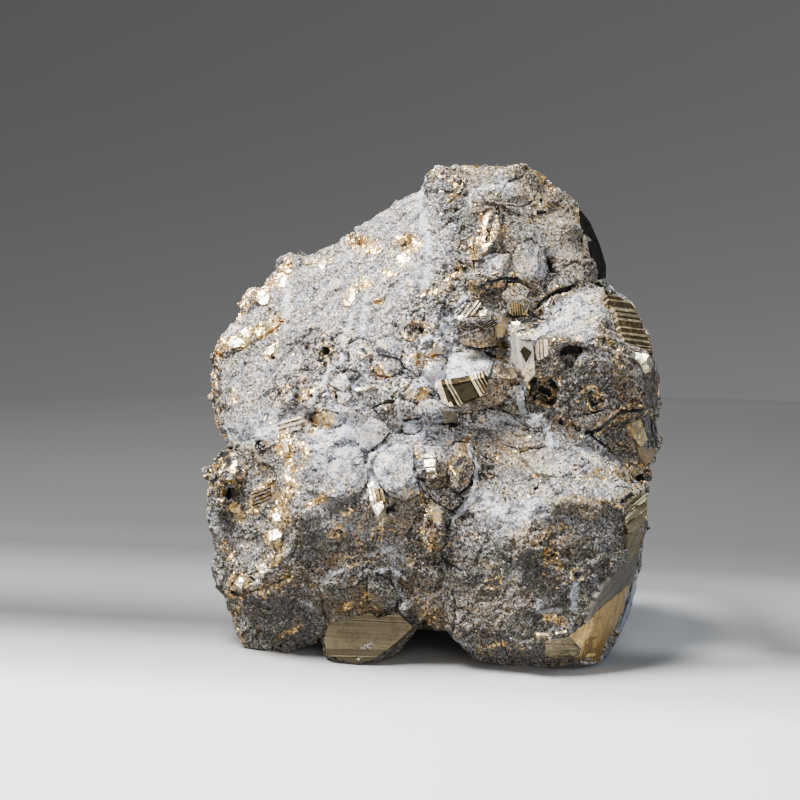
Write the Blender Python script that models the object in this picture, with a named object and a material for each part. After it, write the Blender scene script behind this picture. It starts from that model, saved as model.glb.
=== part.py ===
"""A pyrite cluster: blocky crystals grown into one another, under a thin grey crust.

The cluster is one natural piece, so it is one solid. Its masses are convex hulls of
hand-placed corners, joined and weathered. Its crystals are blocks with flat faces, or
are cut from cubes by the faces of pyrite's own forms, and some carry growth ledges.
Small crystals and pits are set where they are seen on the joined masses.

+Z is up, +X is to the right as the best side is seen, and the best side faces -Y.
The origin is on the surface that the cluster stands on, under the middle of its box.
The layout is in millimetres, and is scaled to WIDTH in Blender's metres at the end.

A place on the best side is given as it is seen from there: its millimetres across and
up, as they show on the upright plane through the middle of the view, and its depth,
which is its Y.
"""

import math

import bmesh
import bpy
from mathutils import Euler, Matrix, Vector, noise
from mathutils.bvhtree import BVHTree

MM = 0.001

# Driving size, in millimetres: the whole cluster is scaled to this width at the end.
WIDTH = 80.0

# Where the best side is seen from: the middle of the view, and how far and how high
# above it the eye is.
VIEW_MIDDLE = Vector((-5.5, -18.0, 45.2))
VIEW_DISTANCE = 321.1
VIEW_RISE = math.radians(6)

# How the joined masses are weathered, in millimetres.
SKIN_VOXEL = 0.9
MASS_TRIANGLES = 4200
LUMP_SIZE = 10.0
LUMP_HEIGHT = 0.9
RUBBLE_SIZE = 3.6
RUBBLE_HEIGHT = 0.5

# Distances of a crystal's faces from its centre, as shares of its size.
CUBE_FACE = 1.0
OCTAHEDRON_FACE = 1.3
PYRITOHEDRON_FACE = 1.06
BLANK = 4.0

# How far inside its three places a block's plane cuts, so that it always leaves a face.
SHAVE = 0.3

# Neighbouring faces that turn by less than this count as one flat face.
FLAT = math.radians(1.5)

# A Boolean step has failed where the volume leaves these shares of what it was.
SMALLEST_CHANGE = 0.9
LARGEST_CHANGE = 1.5

# The slab under the cluster that cuts its feet flat.
SLAB = 200.0

NODE_NAME = "pyrite_cluster"
PYRITE_COLOUR = (0.62, 0.52, 0.33, 1.0)
PYRITE_METALLIC = 0.75
PYRITE_ROUGHNESS = 0.42


def line_of_sight(across, up):
    """The eye's place, and the direction in which it sees a place on the best side."""
    towards = Vector((0, math.cos(VIEW_RISE), -math.sin(VIEW_RISE)))
    upward = Vector((0, math.sin(VIEW_RISE), math.cos(VIEW_RISE)))
    rightward = Vector((1, 0, 0))
    eye = VIEW_MIDDLE - towards * VIEW_DISTANCE
    aside = rightward * (across - VIEW_MIDDLE.x) + upward * (up - VIEW_MIDDLE.z)
    return eye, (towards * VIEW_DISTANCE + aside).normalized()


def seen(across, up, depth):
    """The point at this depth that the best side shows at this place."""
    eye, sight = line_of_sight(across, up)
    return eye + sight * ((depth - eye.y) / sight.y)


def surface_at(tree, across, up):
    """The point of the surface that the best side shows at this place, and the line of sight."""
    eye, sight = line_of_sight(across, up)
    point, _normal, _index, _distance = tree.ray_cast(eye, sight)
    if point is None:
        raise ValueError(f"the best side shows nothing at {across}, {up}")
    return point, sight


def clear_scene():
    """Removes every object that the file opened with."""
    for obj in list(bpy.data.objects):
        bpy.data.objects.remove(obj, do_unlink=True)


def mesh_object(name, bm):
    """Turns a bmesh into an object of the same millimetres, with its faces outwards."""
    bmesh.ops.recalc_face_normals(bm, faces=bm.faces)
    mesh = bpy.data.meshes.new(name)
    bm.to_mesh(mesh)
    bm.free()
    obj = bpy.data.objects.new(name, mesh)
    bpy.context.scene.collection.objects.link(obj)
    return obj


def hull_mesh(corners):
    """A closed convex mesh with flat faces between its corners."""
    bm = bmesh.new()
    for corner in corners:
        bm.verts.new(seen(*corner))
    made = bmesh.ops.convex_hull(bm, input=bm.verts)
    inside = {item for item in made["geom_interior"] if isinstance(item, bmesh.types.BMVert)}
    bmesh.ops.delete(bm, geom=list(inside), context="VERTS")
    return bm


def cut_by(bm, point, normal):
    """Cuts a closed convex mesh by a plane, drops what is outside it and closes the cut."""
    whole = bm.verts[:] + bm.edges[:] + bm.faces[:]
    cut = bmesh.ops.bisect_plane(
        bm, geom=whole, dist=1e-5, plane_co=point, plane_no=normal, clear_outer=True
    )
    rim = [item for item in cut["geom_cut"] if isinstance(item, bmesh.types.BMEdge)]
    bmesh.ops.contextual_create(bm, geom=[edge for edge in rim if edge.is_boundary])


def mass(name, corners):
    """One convex mass."""
    bm = hull_mesh(corners)
    bmesh.ops.triangulate(bm, faces=bm.faces)
    return mesh_object(name, bm)


def block(name, corners, planes=(), ledges=None):
    """A convex block whose named planes are cut flat, each through three of its places.

    ledges, if given, are the number and height of the growth ledges on the first plane,
    and the two places between which they run.
    """
    bm = hull_mesh(corners)
    middle = sum((vertex.co for vertex in bm.verts), Vector()) / len(bm.verts)
    facing = None
    for plane in planes:
        a, b, c = (seen(*place) for place in plane)
        normal = (b - a).cross(c - a).normalized()
        if normal.dot(a - middle) < 0:
            normal.negate()
        a -= normal * SHAVE
        cut_by(bm, a, normal)
        facing = facing or (a, normal)
    bmesh.ops.recalc_face_normals(bm, faces=bm.faces)
    if ledges:
        count, height, start, end = ledges
        along = (seen(*end) - seen(*start)).normalized()
        add_ledges(bm, facing[0], facing[1], along, count, height)
    bmesh.ops.triangulate(bm, faces=bm.faces)
    return mesh_object(name, bm)


def add_ledges(bm, point, outward, along, count, height):
    """Raises alternate strips of the flat face through point, as growth ledges."""
    across = outward.cross(along).normalized()

    def level(faces):
        return [face for face in faces if face.normal.dot(outward) > 0.9995
                and abs((face.calc_center_median() - point).dot(outward)) < 0.01]

    bm.normal_update()
    reach = [corner.co.dot(across) for face in level(bm.faces) for corner in face.verts]
    low = min(reach)
    width = (max(reach) - low) / (2 * count + 1)
    for k in range(1, 2 * count + 1):
        geometry = {part: True for face in level(bm.faces)
                    for part in (face, *face.edges, *face.verts)}
        cut = point + across * (low + width * k - point.dot(across))
        bmesh.ops.bisect_plane(bm, geom=list(geometry), dist=1e-4, plane_co=cut, plane_no=across)
        bm.normal_update()
    raised = [face for face in level(bm.faces)
              if int((face.calc_center_median().dot(across) - low) / width) % 2 == 1]
    for face in raised:
        bmesh.ops.inset_region(
            bm, faces=[face], thickness=width * 0.1, depth=height, use_even_offset=True
        )


def signs(*values):
    """Every way of giving the values signs, with a zero left once."""
    found = [()]
    for value in values:
        choices = (value,) if value == 0 else (value, -value)
        found = [row + (choice,) for row in found for choice in choices]
    return found


def form_faces():
    """The outward normal and distance of each face of pyrite's three common forms."""
    faces = []
    for turn in range(3):
        for row in signs(1, 0, 0):
            faces.append((Vector(row[turn:] + row[:turn]), CUBE_FACE))
        for row in signs(2, 1, 0):
            faces.append((Vector(row[turn:] + row[:turn]), PYRITOHEDRON_FACE))
    for row in signs(1, 1, 1):
        faces.append((Vector(row), OCTAHEDRON_FACE))
    return [(normal.normalized(), distance) for normal, distance in faces]


def crystal(name, at, size, turn=(0, 0, 0), stretch=(1, 1, 1), ledges=None):
    """One pyrite crystal: a cube whose edges and corners its other forms cut away.

    ledges, if given, are the number and height of growth ledges on one face of the cube,
    with the number of the axis that it looks along. They run along the next axis.
    """
    bm = bmesh.new()
    bmesh.ops.create_cube(bm, size=BLANK * size)
    for normal, distance in form_faces():
        cut_by(bm, normal * (distance * size), normal)
    bmesh.ops.scale(bm, vec=stretch, verts=bm.verts)
    turned = Euler([math.radians(angle) for angle in turn]).to_matrix()
    bmesh.ops.transform(bm, matrix=turned.to_4x4(), verts=bm.verts)
    bmesh.ops.translate(bm, vec=at, verts=bm.verts)
    bmesh.ops.recalc_face_normals(bm, faces=bm.faces)
    if ledges:
        count, height, axis = ledges
        outward = turned.col[axis].copy()
        face = Vector(at) + outward * (size * stretch[axis])
        add_ledges(bm, face, outward, turned.col[(axis + 1) % 3].copy(), count, height)
    bmesh.ops.triangulate(bm, faces=bm.faces)
    return mesh_object(name, bm)


def summit():
    """The high block at the top, steep on its right side."""
    return mass("summit", [
        (-1.1, 84.2, 1), (1.3, 85, 0), (5.2, 84.7, 0), (8.1, 84.7, 0), (14.9, 85.2, 0),
        (18.4, 83.8, 2), (20.5, 81.3, 3), (24.2, 78.5, 4), (26.8, 75.3, 5), (28.6, 70.9, 6),
        (29.7, 66.1, 7), (29.2, 61.4, 7), (-1.4, 73.3, -6), (-0.8, 62.2, -14), (6.4, 60.2, -17),
        (14.9, 58.8, -16), (21.7, 62.2, -13), (26.8, 66.1, -9), (24.4, 72.4, -4), (19.6, 79.2, -2),
        (9.8, 78.4, -7), (-0.8, 83.6, 12), (16.6, 84, 15), (27.1, 70.7, 17), (-0.4, 62.2, 18),
        (28.1, 58.8, 15), (-1.3, 79.2, 15),
    ])


def left_shoulder():
    """The broad mass that slopes down and back to the left edge."""
    return mass("left_shoulder", [
        (-15, 72.2, 9), (-19.6, 71.1, 9), (-25.6, 69, 9), (-29, 66.3, 8), (-31.9, 62.1, 6),
        (-35.3, 57.6, 4), (-37.7, 53.9, 3), (-38.2, 49.8, 3), (-37.8, 45.4, 1), (-36.8, 41, -1),
        (-35.1, 38.2, -3), (-31, 54.6, -2), (-32.7, 40.1, -9), (-22.5, 57.1, -8), (-22.9, 45.2, -15),
        (-14, 40.1, -19), (-5.5, 42.2, -21.5), (0.4, 41.1, -22), (1.3, 57.1, -17),
        (-0.4, 68.7, -9), (-12.3, 63.9, -7), (-20.8, 68.7, 17), (-31.9, 57.1, 15), (-35.8, 40.1, 12),
        (-0.4, 73.1, 16), (-0.4, 40.1, 18),
    ])


def shoulder_step():
    """The step between the shoulder and the summit."""
    return mass("shoulder_step", [
        (-1.1, 81.9, 5), (-4.7, 80.4, 7), (-8.2, 77.9, 9), (-13.7, 74.3, 10), (-14.7, 68.3, 4),
        (-12.7, 63.6, -6), (-0.4, 62.9, -12), (-1.4, 70.7, -7.5), (-13.7, 72.4, 15),
        (-2.1, 78.9, 14), (-0.4, 62.2, 12), (-14, 63.9, 12),
    ])


def lower_left():
    """The blunt block under the shoulder, undercut at its foot."""
    return mass("lower_left", [
        (-34.4, 37.4, -5), (-38.5, 33.3, -5), (-38.7, 28.2, -5), (-38, 20.6, -5), (-36.3, 12.9, -6),
        (-34.6, 9, -7), (-33.1, 4.2, -9), (-30.9, 1.7, -10), (-25.9, 1.2, -12), (-21.7, 2.4, -14),
        (-18.8, 5.4, -17), (-30.2, 35.9, -12), (-25.1, 41, -18), (-22.5, 35, -22), (-22, 24.8, -24),
        (-22.5, 18, -22), (-29.3, 23.1, -15), (-32.7, 11.2, -12), (-23.4, 7, -17), (-12.3, 40.1, -21),
        (-2.1, 38.4, -22), (1.3, 28.2, -25), (-5.5, 27.4, -25), (-14, 26.5, -25), (-14.9, 13.3, -22),
        (-5.5, 12.9, -22), (1.3, 18, -24), (-0.4, 11.9, -20), (-35.8, 33.3, 12), (-34.1, 11.2, 10),
        (-29.3, 2.7, 6), (-0.4, 12.9, 20), (-2.1, 36.7, 20), (-17.4, 38.4, -20),
    ])


def lower_right():
    """The big crystal at the lower right: a sloping roof over a dark front."""
    return mass("lower_right", [
        (8.9, 42.2, -18), (20.8, 43.2, -16), (30.5, 38.4, -14), (37, 34, -10), (36.6, 30.4, -19),
        (31.9, 28.2, -27), (28.5, 28.7, -28.5), (19.1, 27.5, -30.5), (16.2, 23.1, -31.5),
        (8.1, 28.2, -26), (4.3, 27.4, -23.5), (2.3, 22.3, -24), (1.4, 17.2, -24.5),
        (3.1, 8.3, -25), (3.3, 4.8, -24), (7.1, 1.4, -24), (16.6, 3.6, -30.5),
        (19.1, 0.7, -27.5), (26.1, 0.7, -27), (22.2, 5.4, -30), (26.6, 8.3, -29),
        (32, 19.2, -26.5), (34.8, 19.7, -20), (34.8, 16.3, -18), (33.2, 9.5, -17.5),
        (29.5, 2.4, -20), (28.8, 0.3, -23), (28.5, -1.4, -14), (8.1, -1.4, -14),
        (35.3, 18, 0), (33.6, 9.5, 5), (30.2, 1.9, 5), (35.3, 31.6, 8), (6.4, 2.7, 8),
    ])


def middle_fill():
    """What fills the valley between the two lower masses."""
    return mass("middle_fill", [
        (-3, 41, -20), (7.2, 41.8, -20), (7.7, 29.9, -25), (4.3, 26.2, -25),
        (2, 21.4, -24.5), (-1.3, 18, -24), (-3.5, 9.9, -22), (-0.4, 5.4, -19.5),
        (3, 4.8, -21.5), (3.3, 11.2, -23.5), (-5.5, 28.2, -22), (-8.1, 41, -19),
        (-8.1, 36.7, -21), (-2.1, 40.1, 0), (6.4, 40.1, 0), (1.3, 7.8, 0),
    ])


def centre_fill():
    """What the small crystals in the middle grow from."""
    return mass("centre_fill", [
        (0.6, 62.9, -13), (8.1, 64.3, -14), (19.6, 63.9, -11), (19.1, 53.7, -17),
        (19.1, 41.1, -17), (9.8, 40.5, -20), (0.6, 41.1, -21), (1.3, 53.7, -16.5),
        (11.5, 55.4, -16.5), (1.3, 62.2, 0), (18.3, 62.2, 0), (18.3, 41.8, 0), (1.3, 41.8, 0),
    ])


def back_mass():
    """What the masses share behind: a rounded block that the hidden crystals grow from."""
    return mass("back_mass", [
        (-30.2, 6.1, 4), (-22.5, 4.4, 14), (-5.5, 3.6, 18), (14.9, 3.6, 18), (30.2, 4.4, 8),
        (-35.8, 28.2, 8), (-35.8, 45.2, 8), (-17.4, 33.3, 22), (8.1, 35, 24), (35.3, 31.6, 8),
        (35.3, 48.6, 4), (-24.2, 63.9, 16), (1.3, 72.4, 18), (25.9, 65.6, 12), (-8.9, 45.2, -8),
        (21.7, 41.8, -6), (-22.5, 24.8, -8), (18.3, 18, -14), (-2.1, 18, -16), (-31, 52, 10),
    ])


def right_shoulder():
    """The big crystal at the right: a crusted top and front, and a striated right face."""
    return block(
        "right_shoulder",
        [
            (19.1, 62.6, -9), (26.1, 66, -6), (28.3, 65.5, -6), (17.6, 55.3, -19.5),
            (21.7, 55.8, -21.5), (28.8, 54.6, -23), (35.4, 51.3, -19), (29.8, 64.6, -6),
            (33.9, 62.4, -6), (36.6, 55.8, -9), (37.3, 53.7, -11), (38.3, 48.6, -9),
            (38.2, 43.7, -9), (35.4, 43.2, -18), (16.1, 45.7, -18), (21.7, 42.5, -20),
            (27.1, 39.6, -19), (31.9, 42.8, -20), (31.9, 52, -22.5), (19.1, 62.2, 5),
            (31.2, 62.2, 9), (36.1, 54.6, 6), (36.6, 45.2, 6), (21.7, 41.8, 5),
        ],
        planes=[
            ((28.8, 64.9, -7), (29, 54.6, -22.5), (37.1, 53.9, -12)),
            ((28.5, 54.6, -23), (35.4, 51.3, -19.5), (31.9, 43, -20.5)),
        ],
        ledges=(7, 0.3, (28.8, 62.1, -11), (34.3, 61.2, -7.5)),
    )


def centre_block():
    """The block at the middle, with a ribbed face that looks down to the front."""
    return block(
        "centre_block",
        [
            (2.6, 53.4, -14), (10.6, 54.6, -14), (0.6, 46.9, -21), (7.7, 48.8, -23),
            (10.1, 49.1, -22.5), (2.3, 43.5, -20), (5.5, 42.3, -20), (11.5, 43.7, -18.5),
            (13, 53.7, -15.5), (13.5, 47.6, -18), (12.2, 45.2, -19.5), (3, 53.7, -5),
            (13.2, 53.7, -5), (11.5, 43.5, -5),
        ],
        planes=[((0.8, 46.8, -21.4), (7.9, 48.6, -23), (5.2, 42.5, -20.6))],
        ledges=(4, 0.25, (5.2, 48.1, -22), (2.6, 43.9, -20.5)),
    )


def foot_crystal():
    """The smooth crystal under the middle, which helps to carry the cluster."""
    return block(
        "foot_crystal",
        [
            (-18.6, 6.1, -16), (-15.2, 9.7, -19.5), (-6.2, 9.4, -20), (-2.1, 6.8, -18.5),
            (-8.2, 2, -21.5), (-14, 0.3, -21.5), (-18.3, 1.7, -18), (-15.7, -1.4, -15),
            (-10.3, -1.4, -15), (-17.4, 11.2, -5), (-3, 11.2, -5), (-14.9, 1, 0), (-7.2, 2.7, 0),
        ],
        planes=[((-18.4, 5.4, -17), (-6, 9.2, -20), (-13.7, 0.3, -21.7))],
        ledges=(3, 0.22, (-17.4, 4.4, -19), (-5.5, 6.5, -20)),
    )


def right_wall():
    """The striated face at the right end of the big crystal's ridge."""
    return block(
        "right_wall",
        [
            (31.5, 28.4, -26.8), (36.6, 30.4, -20.5), (36.1, 24.8, -20), (32.4, 23, -26.6),
            (32.7, 20.6, -25), (35.3, 20.2, -19), (28.5, 28.2, -18), (33.6, 31.6, -12),
            (35.3, 21.4, -12), (28.5, 21.4, -18),
        ],
        planes=[((31.7, 28.2, -27), (36.6, 30.3, -20.6), (32.4, 23, -26.8))],
        ledges=(4, 0.22, (31.7, 25.7, -27), (36.1, 28.9, -21)),
    )


def ridges():
    """The ridges, brows and lumps that stand out of the weathered masses."""
    return [
        mass("gold_rib", [
            (-25.2, 41.1, -19.3), (-21.8, 41.8, -20.3), (-19.5, 38.4, -22.3), (-20.5, 33.3, -24),
            (-21.5, 27.4, -25), (-23.2, 22.3, -24), (-24.6, 18.9, -22.3), (-26.6, 33.3, -19.5),
            (-25.6, 26.5, -21.5), (-22.5, 36.7, -15), (-24.2, 21.4, -15),
        ]),
        mass("upper_ledge", [
            (9.4, 78, -7.8), (11.5, 78.2, -7.4), (12, 75, -9.8), (11.1, 71.1, -12.4),
            (9.1, 71.4, -12.4), (8.8, 75.5, -9.8), (10.5, 75, -11.6), (9.8, 76.7, 2),
            (11.5, 72.4, -2),
        ]),
        mass("upper_brow", [
            (3.8, 68.7, -12.8), (7.2, 73.4, -10.2), (14.9, 73.8, -9.8), (19.3, 71.4, -9.4),
            (20.5, 68.7, -11.6), (17.4, 65.3, -14.9), (8.9, 64.9, -17.2), (4.7, 65.3, -16),
            (6.4, 72.4, 0), (20, 70.7, 0), (14.9, 63.9, -5),
        ]),
        mass("core_slab", [
            (-5.9, 38.4, -22.5), (-1.3, 39.1, -23), (-1.4, 30.9, -26.6), (-5.5, 29.6, -27),
            (-10.3, 33.3, -25.6), (-11.3, 36.4, -24), (-5.5, 38.4, -12), (-2.1, 31.6, -15),
            (-8.9, 31.6, -15),
        ]),
        mass("middle_lump", [
            (-21.7, 38.4, -22), (-14.9, 36.4, -24), (-12, 33.3, -25.2), (-13, 28.2, -26.4),
            (-19.5, 28.6, -26), (-20.8, 33.3, -24.2), (-17.4, 36.7, -10), (-14, 29.9, -12),
        ]),
        mass("low_brow", [
            (-19.5, 13.8, -24.2), (-14, 18.4, -25.6), (-8.9, 16.7, -25.8), (-4.8, 13.9, -24.3),
            (-5.9, 10.9, -22.8), (-14, 10.9, -22.4), (-18.8, 10.5, -21), (-14, 14.6, -10),
            (-7.2, 12.1, -10),
        ]),
        mass("front_lump", [
            (12.8, 21.4, -32.2), (16.2, 23.8, -33), (18.8, 20.6, -32.8), (17.9, 17.7, -32.6),
            (13.5, 18.4, -32.4), (14.9, 21.4, -20), (16.9, 18.7, -20),
        ]),
        mass("left_brow", [
            (-31, 18, -14), (-25.1, 20.1, -21.5), (-22.5, 15.5, -22.5), (-25.9, 11.2, -19),
            (-31.9, 11.2, -14), (-31, 18, 0), (-24.2, 11.2, 0),
        ]),
        mass("shelf", [
            (-22.5, 46.6, -16.4), (-14.9, 48.3, -18), (-6.4, 47.3, -20), (-3.5, 44.9, -21.5),
            (-4.7, 41.8, -22.4), (-14, 42.2, -21.2), (-21.7, 43.5, -18.5), (-19.1, 45.2, 0),
            (-5.5, 43.5, 0),
        ]),
    ]


def small_blocks():
    """The smaller blocks whose places are read off the best side."""
    return [
        block("right_small", [
            (30.5, 39.8, -14.5), (34.1, 42.8, -14), (38, 43.4, -9), (38.5, 37.4, -9),
            (37, 34.3, -12), (36.1, 33.7, -13), (30.5, 36, -16.5), (34.3, 38.8, -18.5),
            (35.3, 43.2, -13.5), (31, 41.8, 0), (37.3, 43.2, 0), (37.8, 35, 0), (31.9, 35, 0),
        ]),
        block("upper_shards", [
            (3.5, 58.5, -17), (4.5, 61.2, -16), (8.1, 61.7, -16), (12.2, 59.8, -16),
            (12.5, 55.4, -18.5), (9.4, 54.4, -19.5), (5.4, 55.4, -19.5), (8.1, 58.8, -20),
            (4.7, 60.5, -8), (12.3, 57.1, -8),
        ]),
        block("pale_plate", [
            (13.2, 56.4, -18.5), (18.4, 57.1, -18.5), (17.6, 52.5, -20), (17.1, 49.3, -20.5),
            (15.7, 47.6, -20), (13, 52.4, -19.5), (13.5, 57.1, -8), (17.9, 56.3, -8),
            (15.7, 47.9, -8),
        ]),
        block("core_column", [
            (-0.9, 27.2, -26.6), (1.3, 27.7, -26.6), (2.3, 24.8, -27), (0.9, 18.7, -26.6),
            (-1.1, 19, -26.2), (-1.8, 23.1, -26.8), (-0.4, 26.5, -15), (0.4, 19.7, -15),
        ]),
        block("right_foot", [
            (32.6, 22.1, -26), (35.4, 20.2, -19.5), (34.9, 17.7, -18.5), (33.7, 13.9, -18.5),
            (30, 4.2, -20.5), (28.6, 0.5, -22.5), (22.2, 5.1, -30.3), (26.8, 8.3, -29.3),
            (28.5, 12.1, -28.8), (32, 19.2, -27), (19.1, 4.4, -30.3), (19.3, 0.7, -28),
            (31.9, 18, -8), (29.3, 2.7, -8), (35.3, 16.3, -6), (33.6, 8.8, -6), (30.5, 2.4, -8),
            (21.7, 1.9, -12),
        ]),
    ]


# Crystals of the best side: place across and up, size, turn, and how far they sink in.
FRONT_CRYSTALS = [
    ("ball", 14.2, 61, 2.3, (35, 20, 5), 0.7),
    ("core_left", 0.1, 34.9, 2.5, (42, 22, 12), 0.9),
    ("core_right", 4.2, 34, 3.0, (12, 30, 24), 1.1),
    ("core_shard", -9.3, 29.2, 2.0, (25, 35, 20), 0.9),
    ("grey_prism", -9.9, 39.1, 2.4, (15, 35, 25), 0.9),
    ("left_knob", -34.4, 32.6, 3.4, (20, 30, 40), 1.2),
    ("left_knob_low", -34.8, 28.7, 2.6, (50, 10, 20), 1.0),
    ("round_brown", -1.8, 46.4, 1.7, (10, 20, 30), 0.8),
    ("shelf_left", 0.3, 53.4, 2.2, (40, 15, 60), 1.2),
    ("shelf_low", 0.3, 42.8, 2.3, (30, 40, 10), 1.1),
    ("gold_upper", -4.7, 72.4, 2.0, (25, 35, 15), 0.9),
    ("gold_edge", -12, 72.4, 2.1, (45, 15, 35), 1.0),
    ("gold_left", -23.9, 67.7, 2.4, (30, 25, 50), 1.5),
    ("gold_left_low", -30, 61.4, 2.6, (20, 45, 15), 1.7),
    ("under_middle", -2.1, 10.9, 2.8, (20, 45, 15), 1.4),
    ("under_ball", -8.4, 12.6, 2.1, (40, 15, 15), 1.0),
    ("step_one", -13.7, 49, 2.2, (50, 20, 15), 1.3),
    ("step_two", -14.9, 38.4, 2.0, (20, 50, 15), 0.9),
    ("step_three", -6.4, 53.4, 2.0, (20, 10, 45), 1.2),
    ("saddle", 26.4, 38.1, 3.0, (35, 30, 5), 1.7),
    ("saddle_left", 18.6, 41.1, 2.8, (15, 50, 25), 1.6),
    ("top_right", 22.2, 73.4, 2.8, (20, 10, 50), 1.7),
]

# Angular pits of the best side: place across and up, size, turn and depth below it.
PITS = [
    ("pit_front_left", 19.3, 46.6, 2.1, (30, 20, 10), 0.4),
    ("pit_front_low", 17.4, 44.7, 1.2, (10, 20, 40), 0.3),
    ("pit_front_top", 23.4, 53, 1.9, (15, 40, 10), 0.4),
    ("pit_front_top_right", 25.2, 53.7, 1.2, (35, 10, 10), 0.3),
    ("pit_front_right", 27.8, 45.1, 0.9, (45, 20, 10), 0.2),
    ("pit_ridge_end", 35.3, 32, 1.5, (25, 20, 40), 0.4),
    ("pit_core", 4.2, 34.9, 1.2, (20, 60, 20), 0.2),
    ("pit_plate", 15.7, 53.4, 1.0, (0, 45, 0), 0.3),
    ("pit_knob", -33.4, 34.5, 1.4, (20, 20, 20), 0.3),
    ("pit_knob_low", -34.3, 29.4, 1.3, (40, 20, 0), 0.3),
    ("pit_summit", 20.3, 68.7, 1.1, (10, 30, 30), 0.2),
    ("pit_shoulder", -2.8, 57.3, 1.2, (30, 30, 10), 0.3),
    ("pit_left", -18.6, 53, 1.0, (30, 10, 50), 0.2),
    ("pit_left_low", -19.5, 45.9, 0.9, (10, 10, 20), 0.2),
    ("pit_crevice", 16.7, 58, 1.3, (25, 60, 20), 0.3),
    ("pit_crevice_low", 12.3, 54.4, 0.9, (50, 20, 20), 0.2),
    ("pit_shelf", -5.9, 26.9, 1.1, (50, 20, 20), 0.2),
    ("pit_front_lump", 17.1, 31.1, 0.9, (30, 20, 30), 0.2),
]

# Crystals on the sides that the best side hides: centre, size, turn, stretch and ledges.
HIDDEN_CRYSTALS = [
    ("behind_right", (28, 6, 17), 9.5, (20, 12, 30), (0.95, 1, 1.15), (4, 0.35, 0)),
    ("behind_left", (-27, 4, 18), 9.5, (34, -20, 10), (1, 1, 1), None),
    ("back_big", (5, 15, 25), 15.0, (25, 18, 10), (1, 1, 1), (6, 0.45, 1)),
    ("back_high", (14, 12, 55), 12.5, (12, 40, 25), (1, 1, 1), (5, 0.4, 1)),
    ("back_left", (-19, 13, 47), 12.5, (40, 5, 18), (1, 0.95, 1), None),
    ("summit_back", (8, 9, 72), 10.5, (30, 25, 15), (1, 1, 1), None),
    ("foot_back_left", (-17, 13, 13), 12.0, (15, 25, 30), (1, 1, 1), (5, 0.4, 1)),
    ("foot_back_right", (20, 12, 11), 10.5, (35, 15, 20), (1, 1, 1), None),
    ("left_side", (-29.3, 6.7, 40.4), 7.6, (27, 38, 12), (1, 1, 1), None),
    ("right_side", (29, 1, 42), 9.0, (10, 30, 40), (1, 1, 1), (4, 0.35, 0)),
    ("back_small", (-6, 25, 44), 6.5, (50, 10, 20), (1, 1, 1), None),
    ("back_small_low", (-8, 22, 8), 7.0, (10, 50, 40), (1, 1, 1), None),
]


def bake(obj):
    """Replaces an object's mesh by what its modifiers make of it."""
    graph = bpy.context.evaluated_depsgraph_get()
    made = bpy.data.meshes.new_from_object(obj.evaluated_get(graph))
    obj.modifiers.clear()
    obj.data = made


def volume(obj):
    """The volume of a closed mesh."""
    bm = bmesh.new()
    bm.from_mesh(obj.data)
    found = bm.calc_volume()
    bm.free()
    return found


def boolean_step(base, other, operation, solver):
    """Joins other to base, or cuts it from base, and tells whether the result is sound.

    A step never changes the volume by much, so one that does has failed, and is undone.
    """
    whole, before = base.data, volume(base)
    step = base.modifiers.new(other.name, "BOOLEAN")
    step.operation = operation
    step.object = other
    step.solver = solver
    bake(base)
    if SMALLEST_CHANGE * before < volume(base) < LARGEST_CHANGE * before:
        return True
    base.data = whole
    return False


def joined(base, others, operation="UNION"):
    """Joins others to base, or cuts them from it, one after another, and removes them."""
    for other in others:
        if not boolean_step(base, other, operation, "EXACT"):
            print(other.name, "is joined by the other solver")
            if not boolean_step(base, other, operation, "MANIFOLD"):
                raise ValueError(f"the step with {other.name} failed")
        bpy.data.objects.remove(other, do_unlink=True)
    return base


def weathered(obj):
    """Gives the joined masses a lumpy, broken skin, with few enough faces for a solid."""
    skin = obj.modifiers.new("skin", "REMESH")
    skin.mode = "VOXEL"
    skin.voxel_size = SKIN_VOXEL
    bake(obj)
    mesh = obj.data
    moves = []
    for vertex in mesh.vertices:
        lump = noise.fractal(vertex.co / LUMP_SIZE, 1.0, 2.0, 3)
        rubble = noise.ridged_multi_fractal(vertex.co / RUBBLE_SIZE, 1.0, 2.0, 2, 1.0, 1.6)
        moves.append(vertex.normal * (LUMP_HEIGHT * lump + RUBBLE_HEIGHT * (rubble - 1.7)))
    for vertex, move in zip(mesh.vertices, moves):
        vertex.co += move
    thinned = obj.modifiers.new("thinned", "DECIMATE")
    thinned.ratio = MASS_TRIANGLES / (2 * len(mesh.polygons))
    bake(obj)
    return obj


def set_on_surface(obj, rows):
    """The crystals of the rows, each centred its own depth below the surface it shows on."""
    tree = BVHTree.FromPolygons(
        [vertex.co for vertex in obj.data.vertices],
        [tuple(polygon.vertices) for polygon in obj.data.polygons],
    )
    made = []
    for name, across, up, size, turn, sink in rows:
        point, sight = surface_at(tree, across, up)
        made.append(crystal(name, point + sight * sink, size, turn))
    return made


def ground_slab():
    """What reaches into this slab under the feet is cut off flat."""
    bm = bmesh.new()
    bmesh.ops.create_cube(bm, size=SLAB)
    bmesh.ops.translate(bm, vec=(0, 0, -SLAB / 2), verts=bm.verts)
    return mesh_object("ground_slab", bm)


def shells(bm):
    """The closed surfaces of a mesh, each as the list of its faces."""
    left = set(bm.faces)
    found = []
    while left:
        shell = {left.pop()}
        rim = set(shell)
        while rim:
            rim = {near for face in rim for edge in face.edges for near in edge.link_faces}
            rim -= shell
            shell |= rim
        left -= shell
        found.append(list(shell))
    return found


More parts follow.
